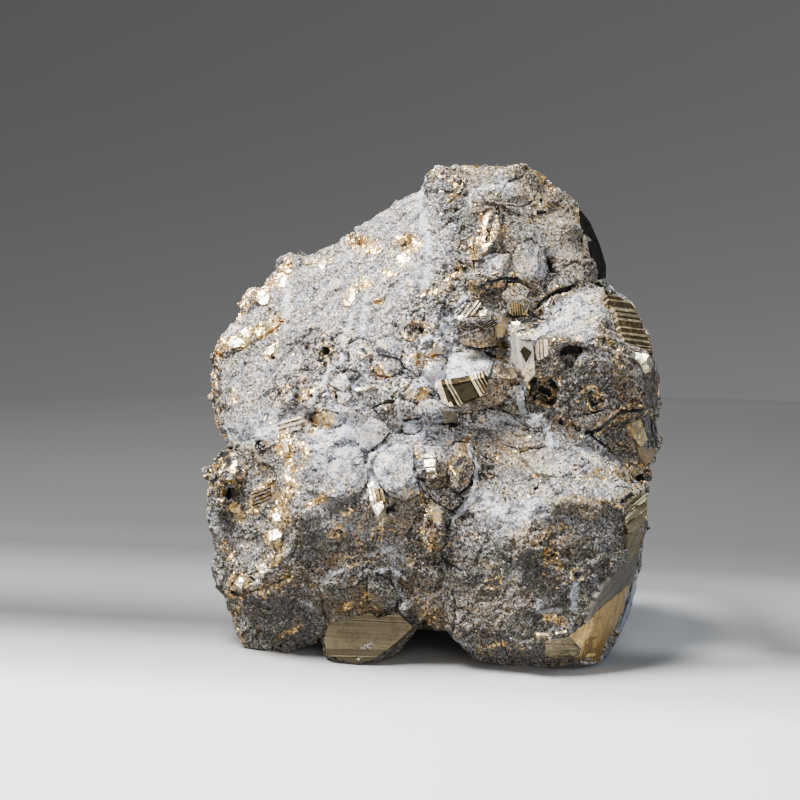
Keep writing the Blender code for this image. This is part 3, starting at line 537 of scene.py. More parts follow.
LUMPS = [
    # The core, from its top to its bottom
    Lump(((452, 315), (462, 304), (480, 300), (490, 306), (490, 316), (478, 321), (466, 322)), 0.4),
    Lump(((463, 336), (475, 330), (500, 316), (508, 318), (508, 334), (498, 345), (480, 348), (466, 345)),
         0.4, 0, Mark.WARM, 0.8),
    Lump(((509, 301), (524, 299), (531, 304), (526, 314), (514, 318), (508, 312)), 0.6, 0, Mark.WARM, 0.5),
    Lump(((534, 318), (541, 303), (554, 292), (562, 294), (560, 308), (548, 318), (537, 320)), 0.6, 0.5),
    Lump(((506, 320), (520, 317), (545, 320), (550, 330), (536, 338), (520, 336), (508, 332)),
         0.3, 0.6, Mark.PALE),
    Lump(((449, 352), (460, 345), (486, 349), (496, 352), (490, 368), (484, 379), (462, 384), (446, 391),
          (446, 370)), 0.5, 0, Mark.PALE, 0.9),
    Lump(((437, 392), (446, 389), (480, 381), (492, 381), (512, 384), (510, 394), (500, 405), (478, 413),
          (460, 416), (447, 408)), 0.9, 0.6),
    Lump(((455, 421), (470, 412), (492, 410), (505, 411), (516, 420), (528, 428), (500, 430), (470, 428)),
         0.4, 0.5),
    Lump(((505, 386), (520, 386), (524, 393), (524, 402), (528, 413), (516, 414), (504, 408)), 0.3),
    Lump(((570, 417), (590, 417), (610, 410), (621, 413), (612, 422), (601, 429), (588, 432), (576, 427)),
         0.8, 0.8, Mark.SHADE, 0.5),
    Lump(((349, 342), (360, 338), (371, 342), (372, 352), (360, 358), (350, 364)), 0.6),
    Lump(((376, 340), (390, 336), (400, 345), (398, 358), (384, 355), (374, 350)), 0.4),
    Lump(((371, 362), (383, 356), (398, 360), (402, 370), (390, 376), (374, 374)), 0.5, 0, Mark.WARM, 0.3),
    Lump(((403, 340), (414, 344), (417, 356), (414, 372), (404, 366), (398, 352)), 0.5),
    Lump(((394, 376), (404, 374), (411, 378), (403, 390), (396, 398), (391, 390)), 0.3),
    Lump(((428, 358), (440, 354), (448, 361), (447, 374), (441, 382), (429, 378), (426, 368)), 0.7, 0.3),
    Lump(((352, 385), (362, 382), (378, 385), (388, 387), (393, 400), (383, 402), (373, 406), (366, 410),
          (359, 404), (354, 394)), 0.8, 0.8, Mark.SHADE, 0.8),
    Lump(((374, 408), (384, 404), (393, 404), (391, 409), (383, 413), (377, 413)), 0.4, 0.5),
    Lump(((417, 387), (424, 384), (431, 388), (433, 395), (429, 402), (421, 402), (416, 395)),
         0.6, 0.3, Mark.SHADE, 0.8),
    Lump(((423, 404), (440, 404), (448, 409), (458, 411), (459, 419), (450, 423), (430, 424), (422, 416)),
         0.9, 0.8, Mark.SHADE, 0.9),
    Lump(((362, 431), (374, 420), (386, 423), (390, 431), (383, 440), (369, 450), (362, 446)), 0.9, 0.8),
    Lump(((343, 447), (353, 441), (361, 451), (366, 461), (354, 464), (345, 461)), 0.4, 0, Mark.SHADE, 0.3),
    Lump(((401, 408), (412, 404), (422, 410), (419, 418), (402, 420)), 0.5),
    Lump(((403, 423), (417, 421), (421, 428), (414, 434), (403, 432)), 0.5, 0.3),
    Lump(((384, 413), (398, 403), (402, 420), (400, 432), (392, 434), (386, 424)), 0.4),
    Lump(((334, 373), (344, 372), (349, 381), (341, 388), (331, 385), (330, 379)), 0.5),
    Lump(((336, 392), (345, 388), (350, 395), (345, 403), (337, 402)), 0.5, 0.5),
    Lump(((299, 392), (308, 388), (318, 392), (318, 402), (308, 408), (299, 402)), 0.3, 0, Mark.WARM, 0.4),
    Lump(((332, 352), (340, 352), (345, 358), (340, 368), (332, 364)), 0.3),
    Lump(((415, 451), (424, 445), (441, 447), (447, 455), (448, 469), (445, 476), (436, 480), (424, 478),
          (416, 470)), 1.0),
    Lump(((426, 475), (438, 472), (448, 479), (445, 486), (433, 489), (425, 482)), 0.5, 0.4, Mark.WARM, 0.5),
    Lump(((450, 449), (456, 442), (470, 443), (472, 455), (473, 472), (469, 484), (460, 491), (452, 486),
          (451, 474), (449, 462)), 0.9, 0.4, Mark.WARM, 0.5),
    Lump(((430, 490), (444, 488), (452, 492), (461, 498), (461, 504), (452, 510), (440, 504), (431, 497)),
         0.5),
    Lump(((378, 453), (400, 441), (413, 447), (413, 470), (420, 492), (404, 500), (388, 494), (377, 480),
          (373, 466)), 0.3),
    Lump(((328, 462), (340, 458), (352, 466), (366, 464), (368, 480), (362, 490), (345, 498), (330, 494),
          (326, 480)), 0.35),
    # The lower front
    Lump(((368, 580), (378, 576), (390, 582), (397, 595), (396, 606), (388, 612), (375, 613), (369, 602)),
         0.9, 0.3, Mark.SHADE, 0.5),
    Lump(((407, 565), (424, 560), (436, 562), (444, 574), (440, 586), (424, 588), (412, 594), (402, 584),
          (402, 574)), 0.2),
    # The right shoulder and its neighbours
    Lump(((480, 424), (500, 423), (530, 431), (545, 435), (540, 448), (515, 446), (495, 440)), 0.25),
    Lump(((520, 452), (545, 447), (575, 453), (590, 462), (560, 475), (535, 472)), 0.2),
    Lump(((606, 438), (613, 428), (633, 426), (634, 450), (618, 451), (608, 446)), 0.6),
    # The summit
    Lump(((510, 181), (525, 177), (536, 199), (522, 207), (505, 206), (499, 198)),
         0.15, 0.4, Mark.SHADE, 0.5),
    Lump(((520, 243), (532, 241), (545, 254), (550, 266), (547, 276), (536, 282), (520, 280), (513, 268),
          (513, 256)), 0.2, 0, Mark.PALE, 0.5),
    Lump(((565, 268), (575, 262), (584, 267), (585, 278), (575, 284), (560, 287), (548, 294), (545, 288),
          (556, 276)), 0.4, 0.9, Mark.SHADE, 0.9),
    Lump(((484, 213), (490, 209), (498, 216), (500, 232), (492, 244), (484, 250), (474, 254), (474, 246),
          (480, 232)), 0.3, 0, Mark.SHADE, 1.0),
    Lump(((474, 262), (490, 253), (510, 253), (508, 262), (504, 271), (488, 275), (474, 273)),
         0.1, 0, Mark.PALE, 0.6),
    Lump(((508, 283), (520, 282), (530, 290), (524, 299), (510, 300), (502, 294)), 0.3, 0, Mark.WARM, 0.5),
    # The left block
    Lump(((256, 443), (260, 441), (264, 443), (264, 449), (260, 451), (256, 449)),
         0.6, 0.8, Mark.SHADE, 0.9),
    Lump(((214, 469), (221, 460), (232, 450), (242, 453), (247, 463), (243, 475), (228, 479), (217, 477)),
         0.4, 0, Mark.SHADE, 0.6),
    Lump(((310, 417), (325, 411), (338, 415), (340, 424), (328, 428), (314, 426)), 0.4, 0, Mark.WARM, 0.6),
    Lump(((230, 591), (238, 576), (246, 573), (252, 580), (244, 590), (236, 595)), 0.5, 0.3, Mark.WARM, 0.5),
]


class Tone(Enum):
    """How clean pyrite looks on one crystal face: its colour, its roughness and its facets' tilt."""

    GLINT = ((1.0, 0.84, 0.56), 0.26, 0.55)
    CREAM = ((0.95, 0.78, 0.50), 0.36, 0.16)
    GOLD = ((0.56, 0.38, 0.15), 0.30, 0.20)
    BROWN = ((0.15, 0.09, 0.035), 0.36, 0.30)
    OLIVE = ((0.36, 0.29, 0.16), 0.34, 0.16)
    KHAKI = ((0.24, 0.20, 0.125), 0.50, 0.04)
    # Near-black pyrite: a painted dark reflection on faces that mirror the dark room, and painted shade on
    # the hollows that carry it
    DARK = ((0.035, 0.028, 0.016), 0.28, 0.30)
    GREY = ((0.15, 0.14, 0.12), 0.42, 0.12)
    PEARL = ((0.66, 0.59, 0.51), 0.52, 0.08)
    # A bluish colour that stands for a painted reflection of the cool light on the right
    STEEL = ((0.34, 0.45, 0.62), 0.30, 0.12)


@dataclass(frozen=True)
class CleanFace:
    """A clean crystal face on the best side.

    Attributes:
        tone: how its pyrite looks.
        corners: its outline, as pixels.
        bands: the widths of its growth bands in turn, bright and dark, as any shares; the dark bands are
            painted dark, a painted reflection.
        along: two pixels that show which way each band runs.
        relief: how far every other band edge stands out, in millimetres.
        contrast: how much darker the dark bands are painted, from 0 to 1.
        draped: whether it follows the solid, as a large face does, or is a plane.
        worn: how much crust is left on it, from 0 to 1.
    """

    tone: Tone
    corners: tuple[Pixel, ...]
    bands: tuple[float, ...] = ()
    along: tuple[Pixel, ...] = ()
    relief: float = 0.12
    contrast: float = 1.0
    draped: bool = False
    worn: float = 0.5

    def aside(self) -> Vector:
        """The direction across its bands, to the right or down, with up as the second axis."""
        start, end = (Vector((x, -y, 0)) for x, y in (self.along or self.corners)[:2])
        across = (end - start).cross(Vector((0, 0, 1))).normalized()
        return across if across.x - across.y > 0 else -across


TABLET_LAYERS = ("band", "across", "worn")

# How far faces of a tone turn to the place where they reflect the main light, or away from it
TOWARDS = {Tone.GLINT: 1.0, Tone.BROWN: -0.3, Tone.DARK: -0.3, Tone.GREY: -0.2, Tone.OLIVE: -0.12,
           Tone.KHAKI: -0.2}
EVEN_BANDS = (3, 2) * 6
FINE_BANDS = (3, 1, 2, 1, 4, 1, 2, 2) * 3

FACES = [
    # The striated right face of the big upper crystal, and the faces round it
    CleanFace(Tone.CREAM, ((606, 297), (613, 294), (632, 305), (640, 320), (646, 335), (651, 347),
                           (649, 353), (630, 352), (624, 340), (620, 328), (616, 312)),
              (3, 3, 2, 6, 4, 1, 4, 2, 3, 6, 2, 4, 3, 3, 3, 3, 2, 1, 2, 1, 2, 1),
              ((618, 324), (641, 327)), 0.16, 1.0, worn=0.1),
    CleanFace(Tone.GLINT, ((628, 352), (649, 354), (646, 361), (640, 364), (634, 358))),
    CleanFace(Tone.DARK, ((598, 281), (606, 283), (617, 293), (606, 292))),
    CleanFace(Tone.BROWN, ((642, 366), (654, 352), (657, 379), (658, 407), (644, 410), (644, 387)),
              draped=True),
    # The middle block
    CleanFace(Tone.CREAM, ((437, 385), (461, 382), (471, 380), (485, 376), (488, 381), (486, 390),
                           (479, 398), (464, 404), (450, 406), (442, 402)),
              (8, 4, 2, 1, 2, 18, 3, 1, 2, 1.5, 1.5, 2, 1.5, 1.5), ((471, 382), (479, 396)), 0.2,
              worn=0.1),
    CleanFace(Tone.DARK, ((453, 387), (470, 382), (478, 396), (464, 402)), worn=0),
    CleanFace(Tone.DARK, ((443, 388), (446, 387), (452, 401), (448, 403)), worn=0),
    CleanFace(Tone.OLIVE, ((444, 411), (456, 412), (458, 421), (447, 423))),
    CleanFace(Tone.OLIVE, ((406, 392), (412, 388), (416, 399), (403, 398))),
    CleanFace(Tone.GOLD, ((417, 350), (423, 352), (425, 368), (417, 371), (415, 360))),
    CleanFace(Tone.OLIVE, ((428, 354), (437, 343), (443, 354))),
    # The shards above it
    CleanFace(Tone.GLINT, ((462, 306), (478, 301), (481, 303), (475, 316), (464, 318)),
              (2, 3, 3, 2, 3, 2, 2, 3), ((468, 316), (479, 302)), 0.15),
    CleanFace(Tone.DARK, ((455, 313), (461, 306), (462, 309), (457, 316))),
    CleanFace(Tone.GLINT, ((458, 316), (463, 315), (462, 320), (459, 320))),
    CleanFace(Tone.GLINT, ((479, 311), (487, 309), (486, 315), (480, 316))),
    CleanFace(Tone.OLIVE, ((479, 327), (494, 319), (500, 318), (496, 325), (484, 331)),
              (1, 3) * 4, ((483, 329), (497, 320)), 0.15),
    CleanFace(Tone.GLINT, ((495, 329), (501, 321), (505, 324), (501, 330))),
    CleanFace(Tone.GOLD, ((502, 315), (508, 318), (508, 334), (503, 337))),
    CleanFace(Tone.OLIVE, ((509, 305), (515, 302), (523, 305), (524, 313), (516, 316), (510, 313)),
              EVEN_BANDS, ((516, 304), (517, 315)), 0.1),
    CleanFace(Tone.GLINT, ((511, 322), (518, 321), (521, 324), (515, 327))),
    CleanFace(Tone.GOLD, ((525, 325), (531, 324), (530, 330), (526, 330))),
    CleanFace(Tone.GLINT, ((546, 306), (552, 296), (554, 301), (549, 308)), (2, 1) * 3,
              ((548, 307), (553, 297))),
    CleanFace(Tone.GOLD, ((536, 312), (541, 308), (544, 312), (538, 318)), EVEN_BANDS,
              ((538, 316), (543, 309))),
    # The pale plate and the cream crystal at its side
    CleanFace(Tone.PEARL, ((510, 333), (517, 336), (532, 341), (534, 352), (534, 362), (526, 366),
                           (521, 372), (517, 372), (512, 357)),
              (3, 1, 5, 1, 4, 2, 3, 1), ((516, 336), (520, 370)), 0.06, 0.35),
    CleanFace(Tone.CREAM, ((526, 366), (534, 361), (535, 374), (526, 384), (521, 373)),
              (4, 1, 3, 1), ((524, 372), (534, 364)), 0.08, 0.4),
    CleanFace(Tone.DARK, ((520, 351), (524, 346), (532, 352), (526, 363)), worn=0),
    CleanFace(Tone.CREAM, ((535, 341), (541, 339), (549, 340), (548, 354), (541, 360), (536, 359)),
              (4, 1, 3, 1, 5, 1), ((540, 341), (541, 359)), 0.1),
    CleanFace(Tone.OLIVE, ((504, 368), (515, 367), (517, 377), (508, 380))),
    CleanFace(Tone.GOLD, ((517, 368), (520, 372), (523, 380), (518, 378))),
    # The small right crystal
    CleanFace(Tone.GOLD, ((632, 423), (641, 418), (648, 440), (641, 447), (634, 438))),
    CleanFace(Tone.GREY, ((642, 418), (648, 415), (655, 432), (652, 448), (648, 440)), (2, 1) * 3,
              ((645, 417), (652, 444))),
    CleanFace(Tone.DARK, ((652, 419), (657, 428), (658, 445), (653, 448))),
    CleanFace(Tone.GOLD, ((637, 447), (650, 450), (655, 443), (653, 458), (646, 465), (640, 456))),
    # The right end of the lower crystal
    CleanFace(Tone.OLIVE, ((626, 499), (647, 493), (645, 512), (641, 528), (627, 533), (624, 520)),
              FINE_BANDS, ((627, 520), (645, 505)), 0.12, 0.75, True, 0.3),
    CleanFace(Tone.KHAKI, ((627, 534), (641, 529), (643, 540), (638, 551), (623, 563), (626, 545)),
              EVEN_BANDS, ((627, 556), (640, 532)), 0.08, 0.5, True, 0.3),
    CleanFace(Tone.GREY, ((638, 551), (633, 580), (613, 596), (599, 607), (589, 619), (585, 620),
                          (591, 607), (606, 582), (623, 562)),
              FINE_BANDS, ((590, 614), (636, 556)), 0.06, 0.4, True, 0.2),
    CleanFace(Tone.GOLD, ((631, 583), (628, 597), (618, 620), (610, 635), (602, 647), (599, 661),
                          (577, 661), (580, 648), (568, 635), (588, 621), (599, 608), (613, 597)),
              draped=True, worn=0.2),
    CleanFace(Tone.KHAKI, ((545, 640), (568, 636), (579, 648), (577, 659), (545, 657)),
              FINE_BANDS, ((546, 649), (578, 650)), 0.1, 0.5, True, 0.3),
    # Painted reflection: this face is coloured blue as if it mirrored the cool light
    CleanFace(Tone.STEEL, ((637, 567), (636, 600), (628, 625), (615, 645), (604, 661), (600, 659),
                           (608, 652), (619, 627), (629, 598), (633, 580)), draped=True, worn=0.1),
    CleanFace(Tone.GLINT, ((535, 632), (548, 633), (549, 636), (537, 635))),
    CleanFace(Tone.GLINT, ((555, 632), (566, 630), (567, 632), (556, 634))),
    # The summit
    CleanFace(Tone.DARK, ((579, 208), (590, 222), (600, 245), (606, 265), (606, 278), (600, 279),
                          (593, 266), (584, 252), (580, 232)), worn=0.1),
    CleanFace(Tone.GLINT, ((483, 216), (487, 214), (488, 224), (484, 226))),
    CleanFace(Tone.OLIVE, ((474, 246), (481, 244), (483, 252), (477, 256))),
    CleanFace(Tone.DARK, ((497, 206), (504, 216), (502, 228), (498, 216))),
    # The smooth crystal under the middle
    CleanFace(Tone.KHAKI, ((330, 618), (342, 614), (350, 618), (371, 613), (377, 618), (398, 613),
                           (413, 627), (399, 640), (388, 649), (326, 649), (324, 640)),
              (2, 1, 3, 1, 1, 1, 4, 1, 6, 2, 3, 1, 5), ((330, 622), (405, 626)), 0.05, 0.35, worn=0),
    CleanFace(Tone.KHAKI, ((326, 649), (388, 649), (372, 660), (356, 664), (328, 655)),
              (1, 8, 1, 9), ((330, 652), (388, 653)), 0.04, 0.55, worn=0),
    CleanFace(Tone.BROWN, ((316, 640), (326, 626), (332, 619), (324, 640), (328, 655), (340, 661),
                           (330, 658), (318, 650)), draped=True),
    # The gold rib of the lower left block
    CleanFace(Tone.CREAM, ((278, 424), (300, 417), (304, 421), (298, 430), (279, 432)),
              (2, 2, 3, 2, 2, 2), ((279, 428), (303, 421)), 0.15),
    CleanFace(Tone.GOLD, ((252, 506), (256, 490), (271, 485), (272, 500), (258, 508)),
              (3, 1) * 5, ((254, 500), (270, 494)), 0.12),
    CleanFace(Tone.GOLD, ((229, 509), (240, 507), (241, 512), (234, 513))),
    CleanFace(Tone.GOLD, ((233, 514), (241, 515), (240, 520), (234, 520))),
    CleanFace(Tone.GLINT, ((283, 468), (289, 466), (291, 480), (287, 482)), worn=0.6),
    CleanFace(Tone.GLINT, ((282, 440), (287, 438), (289, 452), (284, 452)), worn=0.6),
    CleanFace(Tone.GLINT, ((272, 514), (280, 512), (282, 520), (275, 522)), worn=0.6),
    CleanFace(Tone.GLINT, ((268, 533), (276, 528), (286, 529), (280, 537), (270, 541)), worn=0.6),
    CleanFace(Tone.GLINT, ((257, 566), (266, 563), (268, 571), (260, 574)), worn=0.6),
    CleanFace(Tone.GLINT, ((234, 583), (239, 577), (245, 579), (241, 588)), worn=0.6),
    CleanFace(Tone.DARK, ((255, 442), (260, 440), (264, 444), (263, 450), (257, 451))),
    CleanFace(Tone.GOLD, ((264, 441), (270, 442), (271, 446), (265, 448))),
    # The shard and the bright crystals of the core
    CleanFace(Tone.GLINT, ((368, 484), (373, 482), (379, 513), (376, 515), (371, 505)), (3, 1, 3),
              ((370, 486), (377, 512))),
    CleanFace(Tone.GOLD, ((375, 489), (382, 488), (385, 500), (380, 510)), (2, 1, 2),
              ((378, 489), (381, 506))),
    CleanFace(Tone.GLINT, ((375, 504), (382, 501), (384, 508), (378, 515), (376, 513))),
    CleanFace(Tone.GLINT, ((425, 455), (434, 452), (436, 460), (435, 470), (427, 472), (424, 464)),
              (3, 1, 4, 1, 2), ((425, 462), (436, 461))),
    CleanFace(Tone.GLINT, ((405, 561), (408, 558), (415, 560), (414, 563), (407, 565)), worn=0),
    CleanFace(Tone.GOLD, ((432, 508), (440, 507), (441, 520), (434, 522)), worn=0.6),
    CleanFace(Tone.GLINT, ((354, 389), (362, 387), (376, 385), (368, 389), (357, 391))),
    CleanFace(Tone.BROWN, ((299, 374), (306, 376), (302, 382))),
    # Bright faces along the upper left edge
    CleanFace(Tone.GLINT, ((278, 274), (284, 272), (287, 282), (285, 288), (279, 286), (277, 279))),
    CleanFace(Tone.GLINT, ((255, 293), (262, 289), (269, 295), (268, 303), (262, 305), (256, 300))),
    CleanFace(Tone.GLINT, ((228, 343), (236, 337), (243, 339), (241, 346), (230, 348))),
    CleanFace(Tone.GLINT, ((240, 331), (246, 327), (250, 334), (245, 338))),
    CleanFace(Tone.GLINT, ((266, 347), (273, 345), (275, 350), (270, 355), (266, 353))),
    CleanFace(Tone.GLINT, ((318, 262), (326, 262), (323, 269), (320, 268))),
    CleanFace(Tone.GLINT, ((397, 256), (404, 253), (411, 258), (408, 264), (399, 264))),
    CleanFace(Tone.GOLD, ((399, 241), (404, 237), (404, 243), (400, 245))),
    CleanFace(Tone.GLINT, ((412, 238), (418, 239), (419, 246), (415, 245))),
    CleanFace(Tone.GLINT, ((346, 305), (350, 296), (354, 290), (355, 297), (350, 305))),
    CleanFace(Tone.GOLD, ((355, 236), (359, 240), (358, 246), (354, 242))),
]


def inside(points: np.ndarray, corners: tuple[Pixel, ...]) -> np.ndarray:
    """Tells which pixels are inside an outline.

    Args:
        points: the pixels, one row each.
        corners: the outline.

    Returns:
        One truth value for each row.
    """
    found = np.zeros(len(points), bool)
    for (ax, ay), (bx, by) in zip(corners, corners[1:] + corners[:1]):
        if ay == by:
            continue
        spans = (points[:, 1] > ay) != (points[:, 1] > by)
        crossing = (bx - ax) * (points[:, 1] - ay) / (by - ay) + ax
        found ^= spans & (points[:, 0] < crossing)
    return found


def distance_to_line(points: np.ndarray, line: tuple[Pixel, ...]) -> np.ndarray:
    """How far pixels are from a line of places.

    Args:
        points: the pixels, one row each.
        line: the places that the line joins.

    Returns:
        The distances, in pixels.
    """
    ends = line if len(line) > 1 else line * 2
    best = np.full(len(points), np.inf)
    for start, end in zip(ends, ends[1:]):
        a = np.array(start, float)
        step = np.array(end, float) - a
        share = np.clip((points - a) @ step / max(step @ step, 1e-9), 0, 1)
        away = points - a - share[:, None] * step
        best = np.minimum(best, np.hypot(away[:, 0], away[:, 1]))
    return best


# Shared pieces of the finishes


class Desk:
    """Adds and joins the nodes of one material or node group."""

    def __init__(self, tree: bpy.types.NodeTree) -> None:
        """Keeps the tree that the nodes go into."""
        self.tree = tree

    def add(self, kind: str, **settings: object) -> bpy.types.Node:
        """Adds a node and sets its properties."""
        node = self.tree.nodes.new(kind)
        for name, value in settings.items():
            setattr(node, name, value)
        return node

    def feed(self, socket: Socket, value: object) -> None:
        """Joins a socket to an output, or sets its value."""
        if isinstance(value, bpy.types.NodeSocket):
            self.tree.links.new(value, socket)
        elif value is not None:
            socket.default_value = value

    def fill(self, node: bpy.types.Node, **values: object) -> bpy.types.Node:
        """Feeds a node's inputs; a value's name is its socket's, with _ for a space."""
        for name, value in values.items():
            self.feed(node.inputs[name.replace("_", " ")], value)
        return node

    def line_up(self, node: bpy.types.Node, *values: object) -> bpy.types.Node:
        """Feeds a node's first inputs in their order."""
        for socket, value in zip(node.inputs, values):
            self.feed(socket, value)
        return node

    def math(self, operation: str, *values: object, clamp: bool = False) -> Socket:
        """A Math node's output for these inputs."""
        node = self.add("ShaderNodeMath", operation=operation, use_clamp=clamp)
        return self.line_up(node, *values).outputs[0]

    def plus(self, start: object, *terms: tuple[object, object]) -> Socket:
        """A value plus some others, each times its weight."""
        for value, weight in terms:
            start = self.math("MULTIPLY_ADD", value, weight, start)
        return start

    def clamped(self, value: Socket) -> Socket:
        """A value that stays between 0 and 1."""
        return self.math("ADD", value, 0.0, clamp=True)

    def vector(self, operation: str, *values: object) -> Socket:
        """A Vector Math node's output for these vectors."""
        node = self.add("ShaderNodeVectorMath", operation=operation)
        return self.line_up(node, *values).outputs["Vector"]

    def scaled(self, vector: object, factor: object) -> Socket:
        """A vector times a number."""
        node = self.add("ShaderNodeVectorMath", operation="SCALE")
        return self.fill(self.line_up(node, vector), Scale=factor).outputs["Vector"]

    def mixed(self, kind: str, factor: object, a: object, b: object, **settings: object) -> Socket:
        """A Mix node's output; kind is what its sockets call the values that it mixes."""
        node = self.add("ShaderNodeMix", **settings)
        sockets = {socket.identifier: socket for socket in (*node.inputs, *node.outputs)}
        for name, value in (("Factor_Float", factor), ("A_" + kind, a), ("B_" + kind, b)):
            self.feed(sockets[name], value)
        return sockets["Result_" + kind]

    def mix(self, factor: object, a: object, b: object, kind: str = "MIX") -> Socket:
        """A blend of two colours."""
        a, b = ((*value, 1.0) if isinstance(value, tuple) else value for value in (a, b))
        return self.mixed("Color", factor, a, b, data_type="RGBA", blend_type=kind)

    def blend(self, factor: object, a: object, b: object) -> Socket:
        """A blend of two numbers."""
        return self.mixed("Float", factor, a, b, data_type="FLOAT")

    def blend_vectors(self, factor: object, a: object, b: object) -> Socket:
        """A blend of two directions."""
        return self.mixed("Vector", factor, a, b, data_type="VECTOR")

    def between(self, value: object, low: float, high: float, kind: str = "SMOOTHSTEP") -> Socket:
        """A step from 0 at low to 1 at high, a smooth one unless its kind says otherwise."""
        node = self.add("ShaderNodeMapRange", interpolation_type=kind)
        return self.fill(node, Value=value, From_Min=low, From_Max=high).outputs["Result"]

    def hump(self, value: object, rise: tuple[float, float], fall: tuple[float, float]) -> Socket:
        """1 between a smooth rise from 0 and a smooth fall back to it."""
        return self.math("SUBTRACT", self.between(value, *rise), self.between(value, *fall))

    def ramp(self, value: object, stops: dict[float, Colour]) -> Socket:
        """A colour that changes smoothly with a value, given at some of its values."""
        low, high = min(stops), max(stops)
        ramp = self.line_up(self.add("ShaderNodeValToRGB"), self.between(value, low, high, "LINEAR"))
        marks = ramp.color_ramp.elements
        while len(marks) < len(stops):
            marks.new(0.5)
        for mark, (place, colour) in zip(marks, sorted(stops.items())):
            mark.position = (place - low) / (high - low)
            mark.color = (*colour, 1.0)
        return ramp.outputs["Color"]

    def greys(self, value: object, stops: dict[float, float]) -> Socket:
        """A grey that changes smoothly with a value, given at some of its values."""
        return self.ramp(value, {place: (tone,) * 3 for place, tone in stops.items()})

    def noise(self, vector: object, scale: float, detail: float = 2.0, rough: float = 0.6,
              curl: float = 0.0) -> Socket:
        """A noise value; scale is in turns per millimetre, and curl bends its lumps into fibres."""
        node = self.fill(self.add("ShaderNodeTexNoise"), Vector=vector, Scale=scale, Detail=detail,
                         Roughness=rough, Distortion=curl)
        return node.outputs["Fac"]

    def bump(self, height: Socket, depth: float, strength: object, normal: object = None) -> Socket:
        """A normal that bumps turn; their depth is in millimetres."""
        node = self.fill(self.add("ShaderNodeBump"), Height=height, Distance=depth * MM,
                         Strength=strength, Normal=normal)
        return node.outputs["Normal"]

    def cells(self, place: Socket) -> tuple[bpy.types.Node, list[Socket]]:
        """Irregular cells one unit wide, and the three random values that each has."""
        cells = self.fill(self.add("ShaderNodeTexVoronoi", feature="F1"), Vector=place, Scale=1.0)
        split = self.line_up(self.add("ShaderNodeSeparateColor"), cells.outputs["Color"])
        return cells, list(split.outputs)

    def counted(self, given: bpy.types.Node) -> Socket:
        """The place that a group is given, counted in the size that it is given."""
        return self.scaled(given.outputs["Place"], self.math("DIVIDE", 1.0, given.outputs["Size"]))

    def attribute(self, name: str) -> Socket:
        """The value of a named attribute of the mesh."""
        return self.add("ShaderNodeAttribute", attribute_name=name).outputs["Fac"]

    def facing(self) -> Socket:
        """The way that the surface faces."""
        return self.add("ShaderNodeNewGeometry").outputs["Normal"]

    def millimetres(self) -> Socket:
        """Object coordinates, in millimetres."""
        return self.scaled(self.add("ShaderNodeTexCoord").outputs["Object"], 1 / MM)

    def axes(self) -> tuple[Socket, ...]:
        """Object coordinates across, away and up, in millimetres."""
        return tuple(self.line_up(self.add("ShaderNodeSeparateXYZ"), self.millimetres()).outputs)

    def group(self, tree: bpy.types.NodeTree, **values: object) -> bpy.types.Node:
        """Places a shared effect and feeds its inputs."""
        return self.fill(self.add("ShaderNodeGroup", node_tree=tree), **values)


# What the shared effects call their vectors; all their other values are numbers
VECTORS = ("Place", "Normal")


def new_group(name: str, inputs: dict[str, float | None], outputs: tuple[str, ...]) -> tuple[
        bpy.types.NodeTree, Desk, bpy.types.Node, bpy.types.Node]:
    """Starts a node group.

    Args:
        name: the group's name.
        inputs: each input's name and its default, or None for a vector.
        outputs: each output's name.

    Returns:
        The group, a desk for it, and its input and output nodes.
    """
    tree = bpy.data.node_groups.new(name, "ShaderNodeTree")
    ends = [("INPUT", *given) for given in inputs.items()] + [("OUTPUT", label, None) for label in outputs]
    for way, label, value in ends:
        kind = "NodeSocketVector" if label in VECTORS else "NodeSocketFloat"
        socket = tree.interface.new_socket(label, in_out=way, socket_type=kind)
        if value is not None:
            socket.default_value = value
    desk = Desk(tree)
    return tree, desk, desk.add("NodeGroupInput"), desk.add("NodeGroupOutput")


